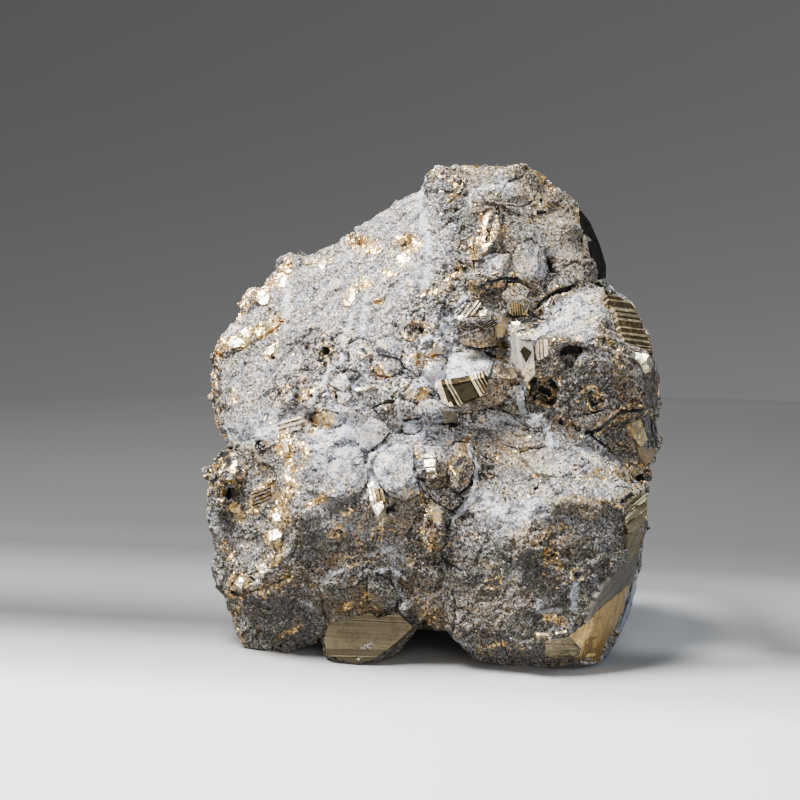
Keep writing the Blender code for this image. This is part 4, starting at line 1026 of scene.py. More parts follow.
class Effects:
    """The effects that several finishes share, each built once as a node group."""

    def __init__(self) -> None:
        """Builds them."""
        self.grain = self.sugar_grain()
        self.facets = self.tilted_facets()
        self.striae = self.growth_lines()
        self.flecks = self.fleck_cells()

    def sugar_grain(self) -> bpy.types.NodeTree:
        """Fine crystalline grain: a speckle, a random value for each grain and a height."""
        tree, desk, given, made = new_group("sugar_grain", {"Place": None, "Size": 0.35},
                                            ("Speckle", "Each", "Height"))
        place = desk.counted(given)
        cells, (tone, each, rise) = desk.cells(place)
        clouded = desk.math("MULTIPLY", desk.noise(place, 0.9, 3.0, 0.65), 0.55)
        speckle = desk.between(desk.plus(clouded, (tone, 0.45)), 0.25, 0.75)
        falling = desk.math("SUBTRACT", 1.0, cells.outputs["Distance"])
        desk.fill(made, Speckle=speckle, Each=each, Height=desk.plus(falling, (rise, 0.6)))
        return tree

    def tilted_facets(self) -> bpy.types.NodeTree:
        """Small flat facets: a normal that is turned a little on each, and a random value."""
        tree, desk, given, made = new_group(
            "tilted_facets", {"Place": None, "Normal": None, "Size": 1.0, "Tilt": 0.3}, ("Normal", "Each"))
        cells, (_, each, _) = desk.cells(desk.counted(given))
        turn = desk.vector("SUBTRACT", cells.outputs["Color"], (0.5, 0.5, 0.5))
        turned = desk.vector("ADD", given.outputs["Normal"], desk.scaled(turn, given.outputs["Tilt"]))
        desk.fill(made, Normal=desk.vector("NORMALIZE", turned), Each=each)
        return tree

    def fleck_cells(self) -> bpy.types.NodeTree:
        """Intergrown flecks with bent outlines: a random value for each."""
        tree, desk, given, made = new_group("fleck_cells", {"Place": None, "Size": 1.0}, ("Each",))
        place = desk.counted(given)
        bend = desk.fill(desk.add("ShaderNodeTexNoise"), Vector=place, Scale=1.7)
        place = desk.vector("ADD", place, desk.scaled(bend.outputs["Color"], 0.5))
        _, (each, _, _) = desk.cells(place)
        desk.fill(made, Each=each)
        return tree

    def growth_lines(self) -> bpy.types.NodeTree:
        """Fine growth lines: a tone and a height that change along one coordinate."""
        tree, desk, given, made = new_group("growth_lines", {"Across": 0.0, "Pitch": 0.4},
                                            ("Tone", "Height"))
        turns = desk.math("DIVIDE", given.outputs["Across"], given.outputs["Pitch"])
        noise_node = desk.add("ShaderNodeTexNoise", noise_dimensions="1D")
        desk.fill(noise_node, W=turns, Scale=1.0, Detail=3.0, Roughness=0.7)
        height = noise_node.outputs["Fac"]
        desk.fill(made, Tone=desk.between(height, 0.38, 0.62), Height=height)
        return tree


def new_material(name: str) -> tuple[bpy.types.Material, Desk, bpy.types.Node]:
    """Starts a material.

    Args:
        name: the material's name.

    Returns:
        The material, a desk for it, and its Principled shader.
    """
    material = bpy.data.materials.new(name)
    material.use_nodes = True
    shader = material.node_tree.nodes["Principled BSDF"]
    return material, Desk(material.node_tree), shader


@dataclass(frozen=True)
class CrustFinish:
    """The thin grey crust, with its specks, stains, windows of clean pyrite, and painted light and shade.

    Attributes:
        shades: the crust's colour from its darkest specks to its palest dust.
        dull_powder: the white powder's darkest specks.
        bright_powder: its palest specks.
        painted_pit_shade: the painted shade that colours the pits and creases near black.
        ochre: what the stained crust is multiplied by.
        haze: what the bluish crust is multiplied by.
        stain: what its dark dots are multiplied by.
        form: the parallel facets' normal, apart from its signs.
        rust: the colour of the strongest stains.
        bright_brass: clean pyrite on the facets that are painted bright, a painted glint.
        dull_brass: clean pyrite on the other facets.
        speck_size: how wide the specks are, in millimetres.
        chip_size: how wide the chips are, in millimetres.
        fleck_size: how wide the windows' facets are, in millimetres.
        dot_size: how wide the dark dots are, in millimetres.
        dot_edge: the values between which a dark dot sets in.
        vein_edge: the values between which the white powder sets in.
        window_edge: the values between which clean pyrite sets in.
        pit_edge: the values between which the soot of the pits sets in.
        bump_depth: how deep the specks' bumps are, in millimetres.
    """

    shades: tuple[Colour, ...] = ((0.008, 0.007, 0.005), (0.052, 0.045, 0.036), (0.168, 0.151, 0.128),
                                  (0.390, 0.374, 0.360), (0.88, 0.86, 0.87))
    dull_powder: Colour = (0.52, 0.53, 0.57)
    bright_powder: Colour = (0.90, 0.92, 0.98)
    painted_pit_shade: Colour = (0.006, 0.005, 0.004)
    ochre: Colour = (1.0, 0.77, 0.44)
    haze: Colour = (0.76, 0.87, 1.18)
    stain: Colour = (0.11, 0.09, 0.07)
    form: Point = (0.246, 0.732, 0.635)
    rust: Colour = (0.42, 0.25, 0.06)
    bright_brass: Colour = (0.98, 0.69, 0.30)
    dull_brass: Colour = (0.38, 0.23, 0.07)
    speck_size: float = 0.27
    chip_size: float = 0.62
    fleck_size: float = 0.5
    dot_size: float = 0.36
    dot_edge: tuple[float, float] = (1.11, 1.18)
    vein_edge: tuple[float, float] = (0.84, 0.96)
    window_edge: tuple[float, float] = (0.91, 0.94)
    pit_edge: tuple[float, float] = (0.78, 0.86)
    bump_depth: float = 0.45

    def material(self, effects: Effects) -> bpy.types.Material:
        """Builds the material for a mesh that carries the marks as attributes."""
        material, desk, shader = new_material("crusted_pyrite")
        place = desk.millimetres()
        marks = {mark: desk.attribute(mark.value) for mark in Mark}
        grain = desk.group(effects.grain, Place=place, Size=self.speck_size)
        flecks = desk.group(effects.flecks, Place=place, Size=self.fleck_size)
        broad = desk.noise(place, 0.14, 3.0)
        middle = desk.noise(place, 0.5, 3.0)
        fine = desk.noise(place, 1.6, 4.0, 0.7)
        fibres = desk.noise(place, 1.1, 5.0, 0.75, 2.2)
        level = self.level(desk, place, marks, grain, effects.grain, (fibres, broad, middle, fine))
        colour = self.crust(desk, level, marks, middle, fine)
        colour = desk.mix(self.dots(desk, effects, place, marks, middle), colour, self.stain, "MULTIPLY")
        vein = desk.plus(0.0, (marks[Mark.WHITE], 0.75), (fibres, 0.6), (grain.outputs["Speckle"], 0.22))
        powder = desk.mix(grain.outputs["Each"], self.dull_powder, self.bright_powder)
        colour = desk.mix(desk.between(vein, *self.vein_edge), colour, powder)
        window = self.window(desk, marks, flecks, broad, fine)
        normal = desk.facing()
        parallel = desk.vector("MULTIPLY", desk.vector("SIGN", normal), self.form)
        parallel = desk.blend_vectors(0.55, normal, parallel)
        facets = desk.group(effects.facets, Place=place, Normal=parallel, Size=self.fleck_size, Tilt=0.7)
        # Facets are painted bright and dull at random, a painted glint besides their turned normals
        brass = desk.mix(facets.outputs["Each"], self.dull_brass, self.bright_brass)
        colour = desk.mix(window, colour, brass)
        # Painted shade: the pits and creases are coloured near black
        pit = desk.plus(0.0, (marks[Mark.DARK], 0.8), (fine, 0.45), (marks[Mark.CREASE], 0.9))
        colour = desk.mix(desk.between(pit, *self.pit_edge), colour, self.painted_pit_shade)
        bumps = desk.bump(level, self.bump_depth, desk.plus(0.9, (marks[Mark.SMOOTH], -0.7)))
        desk.fill(shader, Base_Color=colour, Metallic=desk.math("MULTIPLY", window, 0.92),
                  Roughness=desk.blend(window, 0.66, 0.28),
                  Normal=desk.blend_vectors(window, bumps, facets.outputs["Normal"]))
        return material

    def dots(self, desk: Desk, effects: Effects, place: Socket, marks: dict[Mark, Socket],
             middle: Socket) -> Socket:
        """Where the crust has a dark dot: close together in some places, and rare on pale crust.

        Args:
            desk: the material's desk.
            effects: the shared effects.
            place: the place, in millimetres.
            marks: the marks' strengths.
            middle: noise with lumps of about 2 mm.

        Returns:
            How much of a dot there is, from 0 to 1.
        """
        cells = desk.group(effects.grain, Place=place, Size=self.dot_size)
        chance = desk.plus(cells.outputs["Each"], (middle, 0.7), (marks[Mark.PALE], -0.3),
                           (marks[Mark.WHITE], -0.3), (marks[Mark.RUBBLE], 0.26), (marks[Mark.SMOOTH], 0.04))
        return desk.between(chance, *self.dot_edge)

    def level(self, desk: Desk, place: Socket, marks: dict[Mark, Socket], grain: bpy.types.Node,
              chip_tree: bpy.types.NodeTree, noises: tuple[Socket, ...]) -> Socket:
        """How pale the crust is, from 0 to 1, speck by speck.

        Args:
            desk: the material's desk.
            place: the place, in millimetres.
            marks: the marks' strengths.
            grain: the specks.
            chip_tree: the effect that makes the wider chips.
            noises: fibres, then lumps of about 7 mm, 2 mm and 0.6 mm.

        Returns:
            The value.
        """
        fibres, broad, middle, fine = noises
        dust = desk.noise(place, 3.0, 3.0, 0.7)
        chips = desk.group(chip_tree, Place=place, Size=self.chip_size)
        threads = desk.plus(1.2, (marks[Mark.PALE], -0.75))
        crisp = desk.plus(1.6, (marks[Mark.PALE], -0.5))
        mottle = desk.plus(0.3, (marks[Mark.PALE], 1.4))
        lumps = desk.math("ADD", middle, desk.math("SUBTRACT", fine, 1.0))
        # The pale and shade marks make the crust paler and darker: painted light and painted shade
        level = desk.plus(0.30, (grain.outputs["Each"], 0.52), (chips.outputs["Each"], 0.16),
                          (desk.math("SUBTRACT", fibres, 0.5), threads),
                          (desk.math("SUBTRACT", dust, 0.5), crisp), (lumps, mottle),
                          (desk.math("SUBTRACT", broad, 0.5), 0.30), (marks[Mark.PALE], 0.24),
                          (marks[Mark.SHADE], -0.13), (marks[Mark.WHITE], 0.14))
        return desk.clamped(level)

    def crust(self, desk: Desk, level: Socket, marks: dict[Mark, Socket], middle: Socket,
              fine: Socket) -> Socket:
        """The colour of the crust itself.

        Args:
            desk: the material's desk.
            level: how pale it is.
            marks: the marks' strengths.
            middle: noise with lumps of about 2 mm.
            fine: noise with lumps of about 0.6 mm.

        Returns:
            The colour.
        """
        last = len(self.shades) - 1
        colour = desk.ramp(level, {step / last: shade for step, shade in enumerate(self.shades)})
        stained = desk.plus(0.0, (desk.between(fine, 0.50, 0.60), 0.85),
                            (desk.between(middle, 0.52, 0.66), 0.7), (marks[Mark.PALE], -0.3),
                            (marks[Mark.WHITE], -0.6), (marks[Mark.SHADE], -0.35), (marks[Mark.BRASS], 0.6))
        hazy = desk.between(desk.plus(fine, (middle, -0.5)), 0.22, 0.36)
        hazy = desk.math("MULTIPLY", hazy, desk.plus(0.40, (marks[Mark.PALE], 0.70)))
        colour = desk.mix(hazy, colour, self.haze, "MULTIPLY")
        colour = desk.mix(desk.clamped(stained), colour, self.ochre, "MULTIPLY")
        warm = desk.math("MULTIPLY", marks[Mark.WARM], desk.between(fine, 0.35, 0.6))
        return desk.mix(desk.math("MULTIPLY", warm, 0.85), colour, self.rust)

    def window(self, desk: Desk, marks: dict[Mark, Socket], flecks: bpy.types.Node,
               broad: Socket, fine: Socket) -> Socket:
        """Where clean pyrite shows: in irregular patches on the marks, and as flecks elsewhere.

        Args:
            desk: the material's desk.
            marks: the marks' strengths.
            flecks: the cells of the flecks.
            broad: noise with lumps of about 7 mm.
            fine: noise with lumps of about 0.6 mm.

        Returns:
            The share of clean pyrite, from 0 to 1.
        """
        chance = desk.plus(0.0, (flecks.outputs["Each"], 0.34), (fine, 0.95), (marks[Mark.BRASS], 0.36),
                           (marks[Mark.RUBBLE], 0.05), (desk.between(broad, 0.4, 0.7), 0.05),
                           (marks[Mark.WHITE], -0.15))
        return desk.between(chance, *self.window_edge)


@dataclass(frozen=True)
class CleanFinish:
    """Clean pyrite on a crystal face, with growth lines, a little tarnish and dark bands painted as a dark
    reflection.

    Attributes:
        tone: the face's colour and roughness.
        tarnish: what the tarnished spots are multiplied by.
        crust: the colour of the crust that is left on it.
        dimming: how bright its painted dark bands and lines are, as a share of its colour.
        pitch: how far apart the growth lines are, in millimetres.
        facet_size: how wide its slightly turned facets are, in millimetres.
        grain_size: how wide the grains of what is left of the crust are, in millimetres.
    """

    tone: Tone
    tarnish: Colour = (0.30, 0.24, 0.15)
    crust: Colour = (0.26, 0.25, 0.25)
    dimming: float = 0.03
    pitch: float = 0.45
    facet_size: float = 0.9
    grain_size: float = 0.25

    def material(self, effects: Effects) -> bpy.types.Material:
        """Builds the material for faces that carry their band as an attribute."""
        colour, rough, tilt = self.tone.value
        material, desk, shader = new_material("clean_" + self.tone.name.lower())
        place = desk.millimetres()
        lines = desk.group(effects.striae, Across=desk.attribute("across"), Pitch=self.pitch)
        facets = desk.group(effects.facets, Place=place, Normal=desk.facing(), Size=self.facet_size,
                            Tilt=tilt)
        grain = desk.group(effects.grain, Place=place, Size=self.grain_size)
        band = desk.attribute("band")
        dim = tuple(self.dimming * channel for channel in colour)
        cloudy = desk.plus(0.0, (grain.outputs["Speckle"], 0.3), (desk.noise(place, 0.8, 4.0), 0.7))
        spots = desk.between(cloudy, 0.50, 0.72)
        # The dark bands are painted dark and lose their metal: a painted reflection
        shown = desk.mix(band, dim, colour)
        shown = desk.mix(desk.math("MULTIPLY", lines.outputs["Tone"], 0.25), shown, dim)
        tarnished = tuple(channel * share for channel, share in zip(colour, self.tarnish))
        shown = desk.mix(desk.math("MULTIPLY", spots, 0.45), shown, tarnished)
        left = desk.plus(desk.noise(place, 0.9, 4.0, 0.7), (grain.outputs["Each"], 0.5),
                         (desk.attribute("worn"), 0.7))
        crust = desk.between(left, 1.18, 1.28)
        metal = desk.math("MULTIPLY", desk.blend(spots, 1.0, 0.75), desk.between(band, 0.0, 0.3))
        metal = desk.math("MULTIPLY", metal, desk.math("SUBTRACT", 1.0, crust))
        desk.fill(shader, Base_Color=desk.mix(crust, shown, self.crust), Metallic=metal,
                  Specular_IOR_Level=desk.math("MULTIPLY", band, 0.5),
                  Roughness=desk.blend(crust, desk.blend(spots, rough, rough + 0.2), 0.7),
                  Normal=desk.bump(lines.outputs["Height"], 0.05, 0.35, facets.outputs["Normal"]))
        return material


@dataclass(frozen=True)
class GrainFinish:
    """Small loose-looking crystals, each with its own shade between two colours.

    Attributes:
        name: the material's name.
        dark: the darkest grain's colour.
        bright: the brightest grain's colour.
        metallic: how metallic they are.
        rough: their roughness.
    """

    name: str
    dark: Colour
    bright: Colour
    metallic: float
    rough: float

    def material(self, effects: Effects) -> bpy.types.Material:
        """Builds the material for grains that carry their shade as an attribute."""
        material, desk, shader = new_material(self.name)
        grain = desk.group(effects.grain, Place=desk.millimetres(), Size=0.2)
        shade = desk.plus(desk.attribute("shade"), (grain.outputs["Speckle"], 0.25))
        desk.fill(shader, Base_Color=desk.mix(desk.clamped(shade), self.dark, self.bright),
                  Metallic=self.metallic, Roughness=self.rough,
                  Normal=desk.bump(grain.outputs["Height"], 0.03, 0.4))
        return material


# Shared steps of the shapes


def add_object(name: str, mesh: bpy.types.Mesh, material: bpy.types.Material) -> bpy.types.Object:
    """Gives a finished mesh its object and its material."""
    mesh.materials.clear()
    mesh.materials.append(material)
    made = bpy.data.objects.new(name, mesh)
    bpy.context.scene.collection.objects.link(made)
    return made


def finished(bm: bmesh.types.BMesh, name: str) -> bpy.types.Mesh:
    """Turns a shape into a mesh, and frees the shape."""
    mesh = bpy.data.meshes.new(name)
    bm.to_mesh(mesh)
    bm.free()
    return mesh


def gather(bm: bmesh.types.BMesh, mesh: bpy.types.Mesh) -> None:
    """Adds a mesh to a shape, and deletes the mesh."""
    bm.from_mesh(mesh)
    bpy.data.meshes.remove(mesh)


def welded(solid: bpy.types.Object) -> bmesh.types.BMesh:
    """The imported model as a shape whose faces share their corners."""
    bm = bmesh.new()
    bm.from_mesh(solid.data)
    bmesh.ops.remove_doubles(bm, verts=bm.verts, dist=SAME_POINT * MM)
    return bm


def solid_tree(solid: bpy.types.Object) -> BVHTree:
    """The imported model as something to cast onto."""
    bm = bmesh.new()
    bm.from_mesh(solid.data)
    tree = BVHTree.FromBMesh(bm)
    bm.free()
    return tree


def places_of(mesh: bpy.types.Mesh) -> np.ndarray:
    """The places of a mesh's points, one row each, in metres."""
    places = np.empty(len(mesh.vertices) * 3)
    mesh.vertices.foreach_get("co", places)
    return places.reshape(-1, 3)


def move(mesh: bpy.types.Mesh, places: np.ndarray) -> None:
    """Moves a mesh's points to new places."""
    mesh.vertices.foreach_set("co", places.ravel())
    mesh.update()


def carry(mesh: bpy.types.Mesh, marks: dict[Mark, np.ndarray]) -> None:
    """Stores how strong each mark is at each of a mesh's points."""
    for mark, values in marks.items():
        layer = mesh.attributes.new(mark.value, "FLOAT", "POINT")
        layer.data.foreach_set("value", values.astype(np.float32))


def parts(bm: bmesh.types.BMesh) -> list[object]:
    """All points, edges and faces of a shape."""
    return bm.verts[:] + bm.edges[:] + bm.faces[:]


def lay_sheet(bm: bmesh.types.BMesh, points: list[Vector], towards: Vector) -> bmesh.types.BMFace:
    """Adds one face with these corners, turned towards a direction."""
    sheet = bm.faces.new([bm.verts.new(point) for point in points])
    sheet.normal_update()
    if sheet.normal.dot(towards) < 0:
        sheet.normal_flip()
    return sheet


def thicken(bm: bmesh.types.BMesh, step: Vector) -> None:
    """Gives a sheet of faces its sides and its back, one step away."""
    made = bmesh.ops.extrude_face_region(bm, geom=bm.faces[:], use_keep_orig=True)["geom"]
    moved = [part for part in made if isinstance(part, bmesh.types.BMVert)]
    bmesh.ops.translate(bm, verts=moved, vec=step)


def cut_off(bm: bmesh.types.BMesh, place: Vector, facing: Vector) -> None:
    """Cuts away what lies in front of a plane, and closes the cut."""
    bmesh.ops.bisect_plane(bm, geom=parts(bm), plane_co=place, plane_no=facing, clear_outer=True)
    bmesh.ops.holes_fill(bm, edges=bm.edges, sides=0)


def raise_to_floor(bm: bmesh.types.BMesh) -> None:
    """Keeps a shape from reaching below what the cluster rests on."""
    for vertex in bm.verts:
        vertex.co.z = max(vertex.co.z, 0)


def tidy_faces(bm: bmesh.types.BMesh) -> None:
    """Deletes faces of a closed shape that lie on each other, and turns the rest outwards."""
    alike = {}
    for face in bm.faces:
        alike.setdefault(frozenset(face.verts), []).append(face)
    flaps = [face for faces in alike.values() if len(faces) > 1 for face in faces]
    bmesh.ops.delete(bm, geom=flaps, context="FACES")
    bmesh.ops.recalc_face_normals(bm, faces=bm.faces)
    if bm.calc_volume(signed=True) < 0:
        bmesh.ops.reverse_faces(bm, faces=bm.faces)


# The crust


def hashed(cells: np.ndarray, seed: float) -> np.ndarray:
    """Three random numbers from 0 to 1 for each cell, the same ones each time.

    Args:
        cells: the cells' places in their lattice, one row each.
        seed: a number that chooses another set.

    Returns:
        One row of three for each cell.
    """
    spread = np.array([[127.1, 311.7, 74.7], [269.5, 183.3, 246.1], [113.5, 271.9, 124.6]])
    enlarged = 43758.5453
    return np.modf(np.abs(np.sin(cells @ spread.T + seed)) * enlarged)[0]


def cloud(places: np.ndarray, size: float, seed: float) -> np.ndarray:
    """A smooth random value at each place, from about -0.7 to 0.7.

    Args:
        places: the places, one row each, in millimetres.
        size: how wide its lumps are, in millimetres.
        seed: a number that chooses another one.

    Returns:
        One value for each place.
    """
    return np.array([noise.noise(Vector(place)) for place in places / size + seed * 17.3])


def nearest_cell(places: np.ndarray, size: float, seed: float) -> tuple[np.ndarray, np.ndarray]:
    """Splits space into irregular cells and finds the one that holds each place.

    Args:
        places: the places, one row each, in millimetres.
        size: how wide the cells are, in millimetres.
        seed: a number that chooses where they are.

    Returns:
        Three random values from -1 to 1 that each cell has for itself, and how far each place is
        from its cell's middle, in cells, one row each.
    """
    scaled = places / size
    base = np.floor(scaled)
    best = np.full(len(places), np.inf)
    values = np.zeros((len(places), 3))
    offsets = np.zeros((len(places), 3))
    for step in np.ndindex(3, 3, 3):
        corner = base + np.array(step) - 1
        away = scaled - corner - hashed(corner, seed)
        distance = (away ** 2).sum(axis=1)
        nearer = distance < best
        best[nearer] = distance[nearer]
        offsets[nearer] = away[nearer]
        values[nearer] = hashed(corner[nearer], seed + 5.0) * 2 - 1
    return values, offsets


@dataclass(frozen=True)
class Blocks:
    """Small intergrown crystals, each of which turns the surface its own way.

    Attributes:
        size: how wide they are, in millimetres.
        height: how far they stand out or in, in millimetres.
        tilt: how far their faces lean, as a slope.
        seed: a number that chooses where they are.
    """

    size: float
    height: float
    tilt: float
    seed: float

    def relief(self, places: np.ndarray) -> np.ndarray:
        """How far the surface stands out at each place.

        Args:
            places: the places, one row each, in millimetres.

        Returns:
            The heights, in millimetres.
        """
        values, offsets = nearest_cell(places, self.size, self.seed)
        lean = (offsets * values[:, [1, 2, 0]]).sum(axis=1) * self.size * self.tilt
        return values[:, 0] * self.height + lean


def stray(at: np.ndarray) -> np.ndarray:
    """How far each place strays in the picture, so that every mark has a chipped edge.

    Args:
        at: the places, one row each, in millimetres.

    Returns:
        The pixels across and down, one row each.
    """
    wide = np.stack([cloud(at, 2.2, seed) for seed in (31, 32)], axis=1) * 3
    chipped = nearest_cell(at, 0.75, 33)[0][:, :2] * 2.4
    return wide + chipped


def hidden_marks(at: np.ndarray, normals: np.ndarray) -> dict[Mark, np.ndarray]:
    """Finds how strong each mark is at places that the best side doesn't show.

    Args:
        at: the places, one row each, in millimetres.
        normals: the way that each faces.

    Returns:
        For each mark, one value from 0 to 1 for each place.
    """
    down = np.clip(-normals[:, 2], 0, 1)
    # Each plane is painted lighter and darker by the way that it faces, a painted light and shade that
    # changes smoothly with it
    turned = np.sin(normals @ np.array([[5.1, -2.3], [2.9, 4.7], [-3.7, 3.3]]) + 0.8)
    return {
        Mark.WHITE: np.clip(1 - np.abs(cloud(at, 9, 1)) * 12, 0, 1) * (cloud(at, 21, 2) > 0) * 0.9,
        Mark.BRASS: np.clip((cloud(at, 6, 3) - 0.22) * 5, 0, 1) * 0.8,
        Mark.DARK: np.clip((cloud(at, 2.4, 4) - 0.45) * 8, 0, 1),
        Mark.WARM: np.clip((cloud(at, 12, 5) - 0.15) * 3, 0, 1) * 0.6,
        Mark.PALE: np.clip(cloud(at, 18, 6) + turned[:, 0] * 0.5 + 0.35, 0, 1),
        # Painted shade: darker on what faces down
        Mark.SHADE: np.clip(down * 0.8 + cloud(at, 15, 7) * 0.4 + turned[:, 1] * 0.4 - 0.1, 0, 1),
        Mark.SMOOTH: np.zeros(len(at)),
        Mark.RUBBLE: np.clip(cloud(at, 14, 8) * 3 - 0.6, 0, 1),
        Mark.CREASE: np.clip(1 - np.abs(cloud(at, 7, 10)) * 14, 0, 1) * (cloud(at, 17, 11) > -0.1),
    }


# How many reaches from its line a mark ends, and over how many it fades before that
SOFT_EDGE = 1.3
CRISP_EDGE = 1.0
FADE = 0.7
# A mark with this reach or more strays in full, in pixels
FULL_STRAY = 7
# The reaches of the pits with a rim of broken pyrite, then its place and width in reaches
SMALL_PITS = (2, 4)
RIM_AT = 1.9
RIM_WIDTH = 1.2
RIM_STRENGTH = 0.6
# How wide the painted shade in the seam round a small crystal is, in pixels, and how strong
SEAM_WIDTH = 2.2
SEAM_STRENGTH = 0.8


def shown_marks(at: np.ndarray) -> dict[Mark, np.ndarray]:
    """Finds how strong each mark is at places that the best side shows.

    Args:
        at: the places, one row each, in millimetres.

    Returns:
        For each mark, one value from 0 to 1 for each place.
    """
    found = {mark: np.zeros(len(at)) for mark in Mark}

    def strengthen(mark: Mark, values: np.ndarray) -> None:
        """Makes a mark at least as strong as these values."""
        found[mark] = np.maximum(found[mark], values)

    pixels = VIEW.pixels(at * MM)
    strays = stray(at)
    for stroke in STROKES:
        crisp = stroke.mark is Mark.CREASE
        loose = 0.0 if crisp else min(stroke.reach / FULL_STRAY, 1.0)
        away = distance_to_line(pixels + strays * loose, stroke.line) / stroke.reach
        fading = ((CRISP_EDGE if crisp else SOFT_EDGE) - away) / FADE
        strengthen(stroke.mark, np.clip(fading, 0, 1) * stroke.strength)
        if stroke.mark is Mark.DARK and SMALL_PITS[0] < stroke.reach < SMALL_PITS[1]:
            # Broken pyrite shows at a small pit's rim
            strengthen(Mark.BRASS, np.clip(RIM_WIDTH - np.abs(away - RIM_AT), 0, 1) * RIM_STRENGTH)
    for lump in LUMPS:
        within = inside(pixels, lump.corners)
        rim = distance_to_line(pixels, lump.corners + lump.corners[:1])
        # Painted shade in the seam round each small crystal
        strengthen(Mark.CREASE, np.clip(SEAM_WIDTH - rim, 0, 1) * SEAM_STRENGTH * ~within)
        strengthen(Mark.SMOOTH, within * lump.smooth)
        if lump.tint:
            strengthen(lump.tint, within * lump.strength)
    for face in FACES:
        strengthen(Mark.SMOOTH, inside(pixels, face.corners))
    return found


def marks_at(at: np.ndarray, normals: np.ndarray, seen: np.ndarray) -> dict[Mark, np.ndarray]:
    """Finds how strong each mark is at each place.

    Args:
        at: the places, one row each, in millimetres.
        normals: the way that each faces.
        seen: which of them the best side shows.

    Returns:
        For each mark, one value from 0 to 1 for each place.
    """
    shown = shown_marks(at[seen])
    hidden = hidden_marks(at[~seen], normals[~seen])
    found = {mark: np.zeros(len(at)) for mark in Mark}
    for mark, values in found.items():
        values[seen] = shown[mark]
        values[~seen] = hidden[mark]
    return found


@dataclass
class Skin:
    """The crust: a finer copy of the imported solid, with its relief and its marks.

    Attributes:
        solid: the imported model's object.
        cell: how wide its faces are away from the best side, in millimetres.
        pull: how far its points are drawn onto the solid, as a share.
        clearance: how far off the surface a line of sight starts, in millimetres.
        planes: the broken planes of the crust where it isn't a pale, even face.
        relief: the layers of small crystals, coarse to fine.
        rubble: the larger crystals where the crust is rubble.
        pit_depth: how deep the black pits are, in millimetres.
        crease_depth: how deep the creases are, in millimetres.
        powder_height: how far the white powder stands out, in millimetres.
        unevenness: how far the crust sways in and out besides, in millimetres.
        most_faces: how many triangles the finished crust has at most.
    """

    solid: bpy.types.Object
    cell: float = 0.9
    pull: float = 0.9
    clearance: float = 0.4
    planes: Blocks = Blocks(5.5, 0.16, 0.14, 3.0)
    relief: tuple[Blocks, ...] = (Blocks(2.6, 0.06, 0.14, 5.0), Blocks(1.1, 0.04, 0.18, 8.0))
    rubble: Blocks = Blocks(1.7, 0.14, 0.36, 14.0)
    pit_depth: float = 0.9
    crease_depth: float = 0.6
    powder_height: float = 0.14
    unevenness: float = 0.12
    most_faces: int = 196000

    def build(self, material: bpy.types.Material) -> bpy.types.Object:
        """Builds the crust.

        Args:
            material: its finish.

        Returns:
            The crust's object.
        """
        tree = solid_tree(self.solid)
        mesh = self.fine_copy(tree)
        places = places_of(mesh)
        places = places + (self.nearest(tree, places) - places) * self.pull
        move(mesh, places)
        normals = np.array([vertex.normal for vertex in mesh.vertices])
        seen = self.eye_sees(tree, places, normals)
        marks = marks_at(places / MM, normals, seen)
        stand = self.standing(places / MM, marks)
        # The flat underside stays flat, and nothing goes below the floor
        stand *= np.clip(places[:, 2] / MM / FLAT_BELOW, 0, 1)
        places = places + normals * stand[:, None] * MM
        places[:, 2] = np.maximum(places[:, 2], 0)
        move(mesh, places)
        carry(mesh, marks)
        return add_object("pyrite_crust", self.thinned(mesh), material)

    def applied(self, mesh: bpy.types.Mesh, kind: str, **settings: object) -> bpy.types.Mesh:
        """Gives a mesh one modifier and takes what it makes.

        Args:
            mesh: the mesh.
            kind: the modifier's type.
            settings: the modifier's settings.

        Returns:
            The new mesh.
        """
        holder = bpy.data.objects.new("holder", mesh)
        bpy.context.scene.collection.objects.link(holder)
        modifier = holder.modifiers.new("once", kind)
        for name, value in settings.items():
            setattr(modifier, name, value)
        evaluated = holder.evaluated_get(bpy.context.evaluated_depsgraph_get())
        made = bpy.data.meshes.new_from_object(evaluated)
        bpy.data.objects.remove(holder)
        return made

    def thinned(self, mesh: bpy.types.Mesh) -> bpy.types.Mesh:
        """Joins faces where the crust is flat, until it has few enough."""
        share = min(self.most_faces / len(mesh.polygons), 1.0)
        made = self.applied(mesh, "DECIMATE", ratio=share, use_collapse_triangulate=True)
        made.name = "pyrite_crust"
        return made

    def fine_copy(self, tree: BVHTree) -> bpy.types.Mesh:
        """Copies the solid and gives it even faces, finer ones where the best side shows it.

        Args:
            tree: the solid.

        Returns:
            The finer mesh.
        """
        rough = finished(welded(self.solid), "rough")
        even = self.applied(rough, "REMESH", mode="VOXEL", voxel_size=self.cell * MM)
        bm = bmesh.new()
        bm.from_mesh(even)
        middles = np.array([face.calc_center_median() for face in bm.faces])
        normals = np.array([face.normal for face in bm.faces])
        seen = self.eye_sees(tree, middles, normals)
        edges = [edge for face, shown in zip(bm.faces, seen) if shown for edge in face.edges]
        bmesh.ops.subdivide_edges(bm, edges=list(dict.fromkeys(edges)), cuts=2, use_grid_fill=True)
        bmesh.ops.triangulate(bm, faces=bm.faces)
        return finished(bm, "pyrite_crust")

    def nearest(self, tree: BVHTree, places: np.ndarray) -> np.ndarray:
        """The nearest point of the solid to each place."""
        return np.array([tree.find_nearest(Vector(place))[0] for place in places])

    def eye_sees(self, tree: BVHTree, places: np.ndarray, normals: np.ndarray) -> np.ndarray:
        """Tells which places on the surface the best side shows.

        Args:
            tree: the solid.
            places: the places, one row each, in metres.
            normals: the way that each faces.

        Returns:
            One truth value for each place.
        """
        eye = VIEW.eye
        seen = np.zeros(len(places), bool)
        for index, (place, normal) in enumerate(zip(places, normals)):
            outward = Vector(normal)
            sight = eye - Vector(place)
            if sight.dot(outward) > 0:
                start = Vector(place) + outward * self.clearance * MM
                seen[index] = tree.ray_cast(start, sight)[0] is None
        return seen

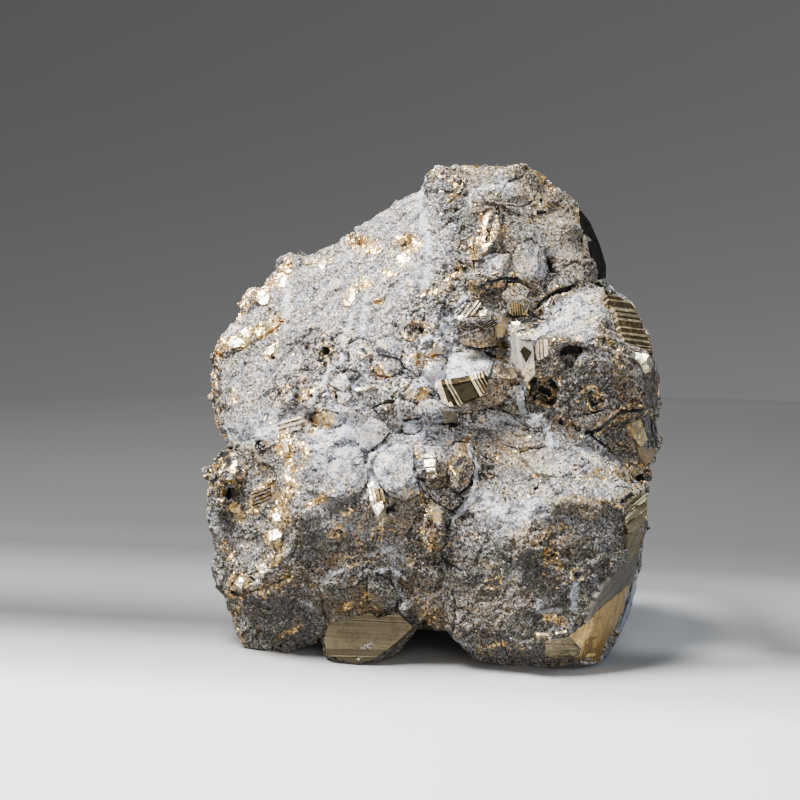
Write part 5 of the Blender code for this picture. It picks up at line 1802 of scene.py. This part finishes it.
    def standing(self, at: np.ndarray, marks: dict[Mark, np.ndarray]) -> np.ndarray:
        """How far the crust stands out at each place.

        Args:
            at: the places, one row each, in millimetres.
            marks: how strong each mark is there.

        Returns:
            The heights, in millimetres.
        """
        stand = sum(blocks.relief(at) for blocks in self.relief)
        stand += self.planes.relief(at) * (1 - marks[Mark.PALE] * 0.8)
        stand += self.rubble.relief(at) * marks[Mark.RUBBLE]
        stand += cloud(at, 3.0, 9) * self.unevenness
        stand *= 1 - marks[Mark.SMOOTH]
        stand += marks[Mark.WHITE] * self.powder_height
        stand -= np.clip(marks[Mark.DARK] * 5 - 4, 0, 1) * self.pit_depth
        return stand - marks[Mark.CREASE] * self.crease_depth


class Surface:
    """The finished crust as something to sit on."""

    def __init__(self, crust: bpy.types.Object, solid: bpy.types.Object) -> None:
        """Reads the crust's mesh.

        Args:
            crust: the crust's object.
            solid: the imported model's object.
        """
        self.solid = solid_tree(solid)
        mesh = crust.data
        mesh.calc_loop_triangles()
        self.places = places_of(mesh)
        corners = np.empty(len(mesh.loop_triangles) * 3, int)
        mesh.loop_triangles.foreach_get("vertices", corners)
        self.corners = corners.reshape(-1, 3)
        first, second, third = (self.places[self.corners[:, side]] for side in range(3))
        crossed = np.cross(second - first, third - first)
        doubled = np.linalg.norm(crossed, axis=1)
        self.areas = doubled / 2
        self.normals = crossed / np.maximum(doubled, 1e-15)[:, None]
        self.trees = [BVHTree.FromPolygons(self.places.tolist(), self.corners.tolist())]
        self.laid_places = []
        self.laid_corners = []
        self.marks = {}
        for mark in Mark:
            values = np.empty(len(mesh.vertices), np.float32)
            mesh.attributes[mark.value].data.foreach_get("value", values)
            self.marks[mark] = values[self.corners].mean(axis=1)

    def cover(self, mesh: bpy.types.Mesh) -> None:
        """Lets lines of sight meet a mesh that stands on the crust."""
        mesh.calc_loop_triangles()
        first = len(self.laid_places)
        self.laid_places += [vertex.co[:] for vertex in mesh.vertices]
        self.laid_corners += [[first + corner for corner in face.vertices] for face in mesh.loop_triangles]
        self.trees[1:] = [BVHTree.FromPolygons(self.laid_places, self.laid_corners)]

    def cast(self, pixel: Pixel) -> tuple[Vector, Vector] | None:
        """Where the best side's line of sight meets the crust or what covers it.

        Args:
            pixel: the line of sight.

        Returns:
            The place and the way that the crust faces there, or None.
        """
        hits = [tree.ray_cast(VIEW.eye, VIEW.sight(pixel)) for tree in self.trees]
        found = [hit for hit in hits if hit[0] is not None]
        return min(found, key=lambda hit: hit[3])[:2] if found else None

    def seats(self, count: int, density: np.ndarray, chance: np.random.Generator) -> tuple[
            np.ndarray, np.ndarray]:
        """Picks random seats.

        Args:
            count: how many.
            density: how likely each triangle is, for its area.
            chance: the random numbers to use.

        Returns:
            The places and the ways that they face, one row each.
        """
        likely = self.areas * density
        chosen = chance.choice(len(likely), count, p=likely / likely.sum())
        shares = chance.random((count, 2))
        shares = np.where(shares.sum(axis=1, keepdims=True) > 1, 1 - shares, shares)
        first, second, third = (self.places[self.corners[chosen, side]] for side in range(3))
        places = first + (second - first) * shares[:, :1] + (third - first) * shares[:, 1:]
        return places, self.normals[chosen]


# Clean crystal faces


@dataclass
class Fitting:
    """Finds where an outline of the best side lies.

    Attributes:
        surface: the finished crust.
        level_share: the share of the crust under an outline that its plane clears.
        least_facing: the cosine of the steepest angle at which a plane is seen.
        mirror_share: the cosine of the angle from the light's reflection within which a plane turns away.
        most_depth: how far from the rest a place may be and still count, in millimetres.
        least_step: how far apart the places that it looks at are at least, in pixels.
        most_steps: how many of them there are at most along an outline's longer side.
        enough: a plane is fitted only to more places than this.
        trust: how much the fitted normal counts beside the crust's own.
    """

    surface: Surface
    level_share: float = 93.0
    least_facing: float = 0.3
    mirror_share: float = 0.93
    most_depth: float = 2.0
    least_step: float = 0.8
    most_steps: int = 14
    enough: int = 20
    trust: float = 2.0

    def samples(self, corners: tuple[Pixel, ...]) -> tuple[np.ndarray, np.ndarray]:
        """The crust behind an outline.

        Args:
            corners: the outline.

        Returns:
            Places on the crust and the ways that they face, one row each.
        """
        outline = np.array(corners)
        low, high = outline.min(axis=0), outline.max(axis=0)
        step = max(self.least_step, (high - low).max() / self.most_steps)
        across, down = np.meshgrid(np.arange(low[0], high[0], step), np.arange(low[1], high[1], step))
        pixels = np.stack([across.ravel(), down.ravel()], axis=1)
        pixels = pixels[inside(pixels, corners)]
        hits = [hit for hit in map(self.surface.cast, pixels.tolist()) if hit]
        places = np.array([hit[0] for hit in hits])
        normals = np.array([hit[1] for hit in hits])
        depths = (places - np.array(VIEW.eye)) @ np.array(VIEW.towards)
        near = np.abs(depths - np.median(depths)) < self.most_depth * MM
        return places[near], normals[near]

    def plane(self, corners: tuple[Pixel, ...], proud: float, lights: tuple[Vector, ...] = (),
              towards: float = 0.0) -> tuple[Vector, Vector, float]:
        """The plane of the crust behind an outline.

        Args:
            corners: the outline.
            proud: how far the plane stands out of the crust, in millimetres.
            lights: where the lights are, if they matter, in metres.
            towards: 1 where the plane sends light to the eye, and below 0 where it turns away from that.

        Returns:
            A point in it, its normal, and how far below it the crust goes, in millimetres.
        """
        places, normals = self.samples(corners)
        middle = places.mean(axis=0)
        to_eye = (VIEW.eye - Vector(middle)).normalized()
        normal = Vector(normals.mean(axis=0)).normalized()
        if len(places) > self.enough:
            fitted = Vector(np.linalg.svd(places - middle)[2][2])
            fitted = fitted if fitted.dot(to_eye) > 0 else -fitted
            normal = (normal + fitted * self.trust).normalized()
        if towards:
            start = Vector(middle) + to_eye * self.most_depth * MM
            free = [light for light in lights
                    if self.surface.solid.ray_cast(start, light - start)[0] is None]
            mirror = (to_eye + ((free or lights)[0] - start).normalized()).normalized()
            if towards > 0 or normal.dot(mirror) > self.mirror_share:
                normal = (normal * (1 - towards if towards > 0 else 1) + mirror * towards).normalized()
        facing = normal.dot(to_eye)
        if facing < self.least_facing:
            normal = (normal + to_eye * (self.least_facing - facing)).normalized()
        heights = (places - middle) @ np.array(normal)
        level = np.percentile(heights, self.level_share) + proud * MM
        depth = level - np.percentile(heights, 100 - self.level_share)
        return Vector(middle) + normal * level, normal, depth / MM

    def onto(self, pixel: Pixel, point: Vector, normal: Vector) -> Vector:
        """Where a line of sight meets a plane."""
        sight = VIEW.sight(pixel)
        return VIEW.eye + sight * ((point - VIEW.eye).dot(normal) / sight.dot(normal))

    def draped(self, pixel: Pixel, point: Vector, normal: Vector, proud: float) -> Vector:
        """Where a line of sight meets the solid near a plane.

        Args:
            pixel: the line of sight.
            point: a point in the plane.
            normal: the plane's normal.
            proud: how far the place stands out of the solid, in millimetres.

        Returns:
            The place, or the nearest one on the solid where the line passes it by.
        """
        level = self.onto(pixel, point, normal)
        place, facing, _, _ = self.surface.solid.ray_cast(VIEW.eye, VIEW.sight(pixel))
        if place is None or (place - level).length > self.most_depth * 2 * MM:
            place, facing, _, _ = self.surface.solid.find_nearest(level)
        return place + facing * proud * MM


@dataclass(frozen=True)
class Seat:
    """Where a tablet goes.

    Attributes:
        place: what turns a drawn point, in pixels, and a rise in millimetres into a place.
        normal: the way that the tablet faces.
        thickness: how thick it is, in millimetres.
    """

    place: Callable[[Vector, float], Vector]
    normal: Vector
    thickness: float


@dataclass
class CleanFaces:
    """The clean crystal faces of the best side, as thin closed tablets set into the crust.

    Attributes:
        fitting: what finds their places.
        lights: where the lights are, the main one first, in metres.
        proud: how far the planes stand out of the crust, in millimetres.
        draped_proud: how far the draped faces stand out of the solid, in millimetres.
        thickness: how thick the tablets are at least, in millimetres.
        weave: how far apart the points of a draped face are, in pixels.
    """

    fitting: Fitting
    lights: tuple[Vector, ...]
    proud: float = 0.06
    draped_proud: float = 0.16
    thickness: float = 1.4
    weave: int = 4

    def build(self, hidden: "HiddenFaces", effects: Effects) -> list[bpy.types.Object]:
        """Builds one object for each tone.

        Args:
            hidden: the faces of the other sides.
            effects: the shared effects.

        Returns:
            The objects.
        """
        chance = random.Random(5)
        gathered = {tone: bmesh.new() for tone in Tone}
        for bm in gathered.values():
            for layer in TABLET_LAYERS:
                bm.loops.layers.float.new(layer)
        for face in FACES:
            tablet = self.tablet(face, self.seat(face), chance)
            self.fitting.surface.cover(tablet)
            gather(gathered[face.tone], tablet)
        for face, seat in hidden.found(random.Random(11)):
            gather(gathered[face.tone], self.tablet(face, seat, chance))
        made = []
        for tone, bm in gathered.items():
            mesh = finished(bm, "clean_" + tone.name.lower())
            made.append(add_object(mesh.name, mesh, CleanFinish(tone).material(effects)))
        return made

    def seat(self, face: CleanFace) -> Seat:
        """Finds where a face of the best side goes."""
        towards = TOWARDS.get(face.tone, 0.0)
        point, normal, depth = self.fitting.plane(face.corners, self.proud, self.lights, towards)

        def flat(drawn: Vector, rise: float) -> Vector:
            """Puts a drawn point in the plane."""
            return self.fitting.onto((drawn.x, -drawn.y), point, normal) + normal * rise * MM

        def draped(drawn: Vector, rise: float) -> Vector:
            """Puts a drawn point on the solid."""
            return self.fitting.draped((drawn.x, -drawn.y), point, normal, self.draped_proud + rise)

        if face.draped:
            return Seat(draped, normal, self.thickness)
        return Seat(flat, normal, max(self.thickness, depth + self.thickness / 2))

    def split(self, bm: bmesh.types.BMesh, place: Vector, across: Vector) -> None:
        """Cuts all faces along a line."""
        bmesh.ops.bisect_plane(bm, geom=parts(bm), dist=1e-3, plane_co=place, plane_no=across)

    def tablet(self, face: CleanFace, seat: Seat, chance: random.Random) -> bpy.types.Mesh:
        """Builds one face as a closed tablet: drawn flat first, then in its place.

        Args:
            face: the face.
            seat: where it goes.
            chance: the random numbers to use.

        Returns:
            Its mesh.
        """
        bm = bmesh.new()
        band, across, worn = (bm.loops.layers.float.new(layer) for layer in TABLET_LAYERS)
        lay_sheet(bm, [Vector((x, -y, 0)) for x, y in face.corners], Vector((0, 0, 1)))
        aside = face.aside()
        places = [vertex.co.dot(aside) for vertex in bm.verts]
        shares = np.cumsum(face.bands) / max(sum(face.bands), 1)
        cuts = min(places) + shares * (max(places) - min(places))
        for place in cuts[:-1]:
            self.split(bm, aside * place, aside)
        if face.draped:
            for axis in (Vector((1, 0, 0)), Vector((0, 1, 0))):
                spans = [vertex.co.dot(axis) for vertex in bm.verts]
                for place in range(int(min(spans)), int(max(spans)), self.weave):
                    self.split(bm, axis * place, axis)
        # Every other band is painted darker, a painted reflection of the dark room
        shades = [chance.uniform(0.8, 1.0) * (1 - face.contrast * (index % 2))
                  for index in range(max(len(cuts), 1))]
        rises = [face.relief if index % 2 == 0 else 0 for index in range(len(cuts))]
        for piece in bm.faces:
            place = piece.calc_center_median().dot(aside)
            index = min(int(np.searchsorted(cuts, place)), len(shades) - 1)
            for loop in piece.loops:
                loop[band] = shades[index]
                loop[across] = loop.vert.co.dot(aside) * PIXEL_WIDTH
                loop[worn] = face.worn
        for vertex in bm.verts:
            rise = float(np.interp(vertex.co.dot(aside), cuts, rises)) if len(cuts) else 0
            vertex.co = seat.place(vertex.co, rise)
        bmesh.ops.triangulate(bm, faces=bm.faces)
        thicken(bm, -seat.normal * seat.thickness * MM)
        raise_to_floor(bm)
        tidy_faces(bm)
        return finished(bm, "tablet")


@dataclass
class HiddenFaces:
    """Clean crystal faces on the sides that the best side doesn't show.

    Attributes:
        solid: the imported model's object.
        skin: what tells which of its faces the best side shows.
        least_area: the smallest face that carries one, in square millimetres.
        share: how many of the faces that could carry one do.
        inset: how large its outline is, as a share of the face's.
        proud: how far it stands out of the solid, in millimetres.
        thickness: how thick it is, in millimetres.
        tones: the tones to choose from.
        band_widths: the widths of the growth bands to choose from, as shares.
        most_bands: how many bands one has at most.
        relief: how far every other band edge stands out, in millimetres.
        lowest: how far down a face that carries one may look, as its normal's height.
    """

    solid: bpy.types.Object
    skin: Skin
    least_area: float = 14.0
    share: float = 0.42
    inset: float = 0.8
    proud: float = 0.30
    thickness: float = 1.0
    tones: tuple[Tone, ...] = (Tone.CREAM, Tone.GOLD, Tone.GOLD, Tone.OLIVE, Tone.OLIVE, Tone.BROWN,
                               Tone.KHAKI, Tone.PEARL, Tone.GREY)
    band_widths: tuple[float, ...] = (1, 1, 2, 3, 5, 9)
    most_bands: int = 23
    relief: float = 0.08
    lowest: float = -0.5

    def found(self, chance: random.Random) -> list[tuple[CleanFace, Seat]]:
        """Chooses them.

        Args:
            chance: the random numbers to use.

        Returns:
            Each face with where it goes.
        """
        bm = welded(self.solid)
        bmesh.ops.dissolve_limit(bm, angle_limit=math.radians(1), verts=bm.verts, edges=bm.edges)
        middles = np.array([face.calc_center_median_weighted() for face in bm.faces])
        normals = np.array([face.normal for face in bm.faces])
        seen = self.skin.eye_sees(solid_tree(self.solid), middles, normals)
        made = []
        for face, shown in zip(bm.faces, seen):
            large = face.calc_area() > self.least_area * MM ** 2
            if large and not shown and face.normal.z > self.lowest and chance.random() < self.share:
                made += self.on(face, chance)
        bm.free()
        LOG.info("clean faces on the hidden sides: %d", len(made))
        return made

    def on(self, face: bmesh.types.BMFace, chance: random.Random) -> list[tuple[CleanFace, Seat]]:
        """Draws one on a face of the solid, unless the face's outline bends in too far.

        Args:
            face: the face.
            chance: the random numbers to use.

        Returns:
            The drawn face with where it goes, if any.
        """
        longest = max(face.edges, key=lambda edge: edge.calc_length())
        right = (longest.verts[1].co - longest.verts[0].co).normalized()
        normal = face.normal.copy()
        upward = normal.cross(right)
        middle = face.calc_center_median_weighted()
        aways = [(vertex.co - middle) / (PIXEL_WIDTH * MM) for vertex in face.verts]
        outline = tuple((away.dot(right), -away.dot(upward)) for away in aways)
        corners = tuple((x * self.inset, y * self.inset) for x, y in outline)
        halfway = tuple(((ax + bx) / 2, (ay + by) / 2)
                        for (ax, ay), (bx, by) in zip(corners, corners[1:] + corners[:1]))
        if not inside(np.array(corners + halfway), outline).all():
            return []

        def place(drawn: Vector, rise: float) -> Vector:
            """Puts a drawn point on the face."""
            aside = (right * drawn.x + upward * drawn.y) * PIXEL_WIDTH
            return middle + (aside + normal * (self.proud + rise)) * MM

        bands = [chance.choice(self.band_widths) for _ in range(chance.randrange(1, self.most_bands + 1))]
        along = ((0, 0), chance.choice(((1, 0), (0, 1))))
        drawn = CleanFace(chance.choice(self.tones), corners, tuple(bands), along, self.relief,
                          chance.uniform(0.15, 0.8), worn=chance.uniform(0.3, 0.8))
        return [(drawn, Seat(place, normal, self.thickness))]


@dataclass
class CrustedCrystals:
    """The small crystals of the best side that the crust covers, as faceted blocks set into it.

    Attributes:
        fitting: what finds their places.
        sink: how far they reach into the crust, in millimetres.
        lean: how far their fronts lean at random, as a slope.
        facets: how many slanted facets meet each front.
        least_slant: how much a facet slants at least, in degrees.
        most_slant: how much it slants at most.
        coarse: the longest edge that a block keeps, in millimetres.
        rough: how uneven its faces are, in millimetres.
        uneven_size: how wide their unevenness is, in millimetres.
        lifted: how far its plane stands out, as a share of its rise.
        creased: how strong the creases on it are, as a share.
        rounds: how often its long edges are halved at most.
    """

    fitting: Fitting
    sink: float = 1.5
    lean: float = 0.10
    facets: int = 4
    least_slant: float = 14.0
    most_slant: float = 40.0
    coarse: float = 0.6
    rough: float = 0.035
    uneven_size: float = 0.9
    lifted: float = 0.6
    creased: float = 0.3
    rounds: int = 3

    def build(self, material: bpy.types.Material) -> bpy.types.Object:
        """Builds them.

        Args:
            material: the crust's finish.

        Returns:
            Their object.
        """
        chance = random.Random(7)
        gathered = bmesh.new()
        for lump in LUMPS:
            gather(gathered, self.block(lump, chance))
        mesh = finished(gathered, "crusted_crystals")
        marks = shown_marks(places_of(mesh) / MM)
        marks[Mark.CREASE] *= self.creased
        carry(mesh, marks)
        return add_object("crusted_crystals", mesh, material)

    def block(self, lump: Lump, chance: random.Random) -> bpy.types.Mesh:
        """Builds one crystal.

        Args:
            lump: where it is, and how far it stands out.
            chance: the random numbers to use.

        Returns:
            Its mesh.
        """
        point, normal, _ = self.fitting.plane(lump.corners, lump.rise * self.lifted)
        lean = Vector([chance.gauss(0, self.lean) for _ in range(3)])
        normal = (normal + lean).normalized()
        bm = bmesh.new()
        top = lay_sheet(bm, [self.fitting.onto(pixel, point, normal) for pixel in lump.corners], normal)
        middle = top.calc_center_median()
        corners = [vertex.co.copy() for vertex in top.verts]
        thicken(bm, -normal * (lump.rise + self.sink) * MM)
        bmesh.ops.recalc_face_normals(bm, faces=bm.faces)
        for corner in chance.sample(corners, min(self.facets, len(corners))):
            slant = math.radians(chance.uniform(self.least_slant, self.most_slant))
            facing = (corner - middle).normalized() * math.sin(slant) + normal * math.cos(slant)
            cut_off(bm, middle.lerp(corner, chance.uniform(0.15, 0.75)), facing)
        bmesh.ops.triangulate(bm, faces=bm.faces)
        for _ in range(self.rounds):
            long = [edge for edge in bm.edges if edge.calc_length() > self.coarse * MM]
            bmesh.ops.subdivide_edges(bm, edges=long, cuts=1)
            bmesh.ops.triangulate(bm, faces=bm.faces)
        tidy_faces(bm)
        bm.normal_update()
        for vertex in bm.verts:
            uneven = noise.noise(vertex.co / MM / self.uneven_size) * self.rough
            vertex.co += vertex.normal * uneven * MM
        raise_to_floor(bm)
        return finished(bm, "block")


# Small crystals and crust grains


@dataclass(frozen=True)
class Grains:
    """Many small angular grains that sit on the crust.

    Attributes:
        name: the piece's name.
        count: how many there are.
        smallest: the smallest one's width, in millimetres.
        largest: the largest one's width, in millimetres.
        cuts: how many random planes cut each form.
        base: how likely they are everywhere.
        liking: how much more likely a mark makes them.
        finish: how they look.
        seed: the number that their random choices start from.
        flatness: how thick they are, as a share of their width.
        kinds: how many different forms they have.
        lean: how far they lean at random, in radians.
        smallness: the power that makes small ones more common than large ones.
    """

    name: str
    count: int
    smallest: float
    largest: float
    cuts: int
    base: float
    liking: dict[Mark, float]
    finish: GrainFinish | CrustFinish
    seed: int
    flatness: float = 0.6
    kinds: int = 8
    lean: float = 0.35
    smallness: float = 1.5

    def build(self, surface: Surface, effects: Effects) -> bpy.types.Object:
        """Builds them.

        Args:
            surface: what they sit on.
            effects: the shared effects.

        Returns:
            Their object.
        """
        chance = np.random.default_rng(self.seed)
        density = np.full(len(surface.areas), self.base)
        for mark, weight in self.liking.items():
            density += surface.marks[mark] * weight
        density *= 1 - surface.marks[Mark.SMOOTH]
        density[surface.places[surface.corners[:, 0], 2] < FLAT_BELOW * MM] = 0
        places, normals = surface.seats(self.count, np.clip(density, 0, None), chance)
        forms = [self.form(chance) for _ in range(self.kinds)]
        sizes = chance.random(self.count) ** self.smallness
        widths = self.smallest * (self.largest / self.smallest) ** sizes
        spins = chance.random(self.count) * math.tau
        leans = chance.normal(0, self.lean, (self.count, 2))
        shades = chance.random(self.count)
        gathered = bmesh.new()
        gathered.loops.layers.float.new("shade")
        for index in range(self.count):
            form = forms[index % len(forms)]
            upright = Vector(normals[index]).to_track_quat("Z", "Y").to_matrix()
            lean = Euler((leans[index, 0], leans[index, 1], spins[index])).to_matrix()
            turned = (upright @ lean).to_4x4()
            place = Matrix.Translation(Vector(places[index])) @ turned
            place = place @ Matrix.Diagonal(Vector((1, 1, self.flatness, 1)))
            place = place @ Matrix.Scale(widths[index] * MM, 4)
            form.attributes["shade"].data.foreach_set("value", [shades[index]] * len(form.loops))
            form.transform(place)
            gathered.from_mesh(form)
            form.transform(place.inverted())
        raise_to_floor(gathered)
        mesh = finished(gathered, self.name)
        for form in forms:
            bpy.data.meshes.remove(form)
        return add_object(self.name, mesh, self.finish.material(effects))

    def form(self, chance: np.random.Generator) -> bpy.types.Mesh:
        """Makes one grain's form, one unit wide: a block that random planes have cut."""
        bm = bmesh.new()
        bmesh.ops.create_cube(bm, size=1.0)
        bm.loops.layers.float.new("shade")
        stretch = Vector(chance.uniform(0.7, 1.1, 3))
        bmesh.ops.scale(bm, vec=stretch, verts=bm.verts)
        for _ in range(self.cuts):
            away = Vector(chance.normal(0, 1, 3)).normalized()
            cut_off(bm, away * chance.uniform(0.34, 0.5), away)
        bmesh.ops.triangulate(bm, faces=bm.faces)
        tidy_faces(bm)
        return finished(bm, "form")


GRAINS = (
    Grains("crusted_rubble", 420, 0.8, 1.7, 7, 0.0, {Mark.RUBBLE: 1.0, Mark.WHITE: -0.3, Mark.DARK: -1.0},
           CrustFinish(), 20, 0.8),
    Grains("brass_crystals", 900, 0.22, 0.6, 5, 0.02, {Mark.BRASS: 1.0, Mark.RUBBLE: 0.10},
           GrainFinish("brass_grain", (0.25, 0.14, 0.04), (1.0, 0.72, 0.33), 0.95, 0.28), 21, 0.35),
    Grains("crust_grains", 3500, 0.15, 0.32, 1, 1.0, {Mark.BRASS: -0.6, Mark.DARK: -1.5},
           GrainFinish("crust_grain", (0.03, 0.025, 0.02), (0.40, 0.40, 0.41), 0.0, 0.7), 22),
    Grains("powder_grains", 2500, 0.15, 0.34, 1, 0.0, {Mark.WHITE: 1.0},
           GrainFinish("white_powder", (0.60, 0.61, 0.64), (0.86, 0.88, 0.93), 0.0, 0.85), 23),
)


# The studio


@dataclass(frozen=True)
class SoftLight:
    """A soft square light that looks at the middle of the cluster.

    Attributes:
        name: its name.
        place: where it is, in millimetres.
        width: how wide it is, in millimetres.
        power: its power, in watts.
        colour: its colour.
    """

    name: str
    place: Point
    width: float
    power: float
    colour: Colour

    def build(self, target: Vector) -> None:
        """Adds the light."""
        data = bpy.data.lights.new(self.name, "AREA")
        data.shape = "SQUARE"
        data.size = self.width * MM
        data.energy = self.power
        data.color = self.colour
        made = bpy.data.objects.new(self.name, data)
        made.location = Vector(self.place) * MM
        made.rotation_euler = (target - made.location).to_track_quat("-Z", "Y").to_euler()
        bpy.context.scene.collection.objects.link(made)


@dataclass(frozen=True)
class Studio:
    """The pale floor, the backdrop round it and the lights.

    Attributes:
        key: the main light, from the upper left.
        fill: the light from the front.
        side: the bluish light from the right.
        world: the colour of the light from all round.
        floor_radius: how wide the floor is, in millimetres.
        wall_height: how high the backdrop is, in millimetres.
        rim_sides: how many straight sides their rim has.
    """

    key: SoftLight = SoftLight("key", (-150, -70, 410), 200, 8.0, (1.0, 0.985, 0.96))
    fill: SoftLight = SoftLight("fill", (20, -410, 140), 300, 0.8, (1.0, 0.98, 0.95))
    side: SoftLight = SoftLight("side", (370, -40, 160), 160, 0.6, (0.75, 0.87, 1.0))
    world: Colour = (0.10, 0.104, 0.11)
    floor_radius: float = 430.0
    wall_height: float = 700.0
    rim_sides: int = 96

    def build(self) -> None:
        """Builds the studio."""
        world = bpy.data.worlds.new("studio")
        bpy.context.scene.world = world
        world.use_nodes = True
        world.node_tree.nodes["Background"].inputs["Color"].default_value = (*self.world, 1.0)
        for light in (self.key, self.fill, self.side):
            light.build(Vector(VIEW.target) * MM)
        floor = add_object("floor", self.floor_mesh(), self.floor_material())
        wall = add_object("backdrop", self.wall_mesh(), self.wall_material())
        # The floor's own bounce would lighten what faces down, so the fill light stands for it
        floor.visible_diffuse = False
        wall.visible_diffuse = False
        wall.visible_glossy = False
        wall.visible_shadow = False

    def rim(self, bm: bmesh.types.BMesh, filled: bool) -> list[bmesh.types.BMVert]:
        """Adds the floor's round outline to a shape, and gives back its points."""
        made = bmesh.ops.create_circle(bm, cap_ends=filled, segments=self.rim_sides,
                                       radius=self.floor_radius * MM)
        return made["verts"]

    def floor_mesh(self) -> bpy.types.Mesh:
        """A round floor under the cluster."""
        bm = bmesh.new()
        self.rim(bm, True)
        return finished(bm, "floor")

    def wall_mesh(self) -> bpy.types.Mesh:
        """A round wall that stands on the floor's rim."""
        bm = bmesh.new()
        edges = list(dict.fromkeys(edge for vertex in self.rim(bm, False) for edge in vertex.link_edges))
        raised = bmesh.ops.extrude_edge_only(bm, edges=edges)["geom"]
        moved = [part for part in raised if isinstance(part, bmesh.types.BMVert)]
        bmesh.ops.translate(bm, verts=moved, vec=(0, 0, self.wall_height * MM))
        return finished(bm, "backdrop")

    def floor_material(self) -> bpy.types.Material:
        """The pale floor, with painted shade behind the cluster."""
        material, desk, shader = new_material("floor_with_painted_shade")
        across, away, _ = desk.axes()
        depth = desk.plus(away, (across, 0.23))
        # Painted shade: the floor's colour darkens behind the cluster and lightens again far back
        shade = desk.greys(depth, {
            -50: 0.82, -34: 0.57, -21: 0.45, -12: 0.32, -8: 0.23, 3: 0.13, 14: 0.19, 24: 0.25, 36: 0.28,
            52: 0.23, 75: 0.117, 106: 0.098, 160: 0.105, 256: 0.122, 340: 0.146, 380: 0.162, 415: 0.185})
        near = desk.greys(across, {-60: 0.70, 0: 0.92, 60: 1.08})
        shade = desk.mix(desk.hump(depth, (-70, 5), (55, 95)), shade, near, "MULTIPLY")
        # The painted shade is left out where the cluster's own shadow falls, which is dark enough, so the
        # floor stays pale under it
        under = desk.math("MULTIPLY", desk.hump(across, (20, 38), (44, 62)),
                          desk.hump(depth, (-13, 3), (34, 54)))
        desk.fill(shader, Base_Color=desk.mix(under, shade, (0.78,) * 3), Roughness=0.9,
                  Specular_IOR_Level=0.1)
        return material

    def wall_material(self) -> bpy.types.Material:
        """The grey backdrop, which glows with painted light, a little darker higher up and to the left."""
        material, desk, shader = new_material("glowing_backdrop")
        across, _, up = desk.axes()
        shade = desk.greys(up, {0: 0.195, 39: 0.160, 79: 0.138, 118: 0.124, 154: 0.117, 400: 0.10})
        shade = desk.mix(1.0, shade, desk.greys(across, {-200: 0.82, 200: 1.08}), "MULTIPLY")
        desk.fill(shader, Base_Color=(0.0, 0.0, 0.0, 1.0), Emission_Color=shade, Emission_Strength=1.0,
                  Specular_IOR_Level=0.0)
        return material


def report(piece: bpy.types.Object) -> None:
    """Sets a piece on its body and says how large it is."""
    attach(piece, BODY)
    LOG.info("%s: %d faces", piece.name, len(piece.data.polygons))


def main() -> None:
    """Builds every piece in order."""
    logging.basicConfig(level=logging.INFO, format="%(message)s")
    VIEW.camera()
    studio = Studio()
    studio.build()
    effects = Effects()
    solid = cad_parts[NODE]
    material = CrustFinish().material(effects)
    skin = Skin(solid)
    crust = skin.build(material)
    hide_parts(NODE)
    report(crust)
    surface = Surface(crust, solid)
    fitting = Fitting(surface)
    crystals = CrustedCrystals(fitting).build(material)
    report(crystals)
    surface.cover(crystals.data)
    hidden = HiddenFaces(solid, skin)
    lights = tuple(Vector(light.place) * MM for light in (studio.key, studio.fill))
    for piece in CleanFaces(fitting, lights).build(hidden, effects):
        report(piece)
    for grains in GRAINS:
        report(grains.build(surface, effects))


if __name__ == "__main__":
    main()
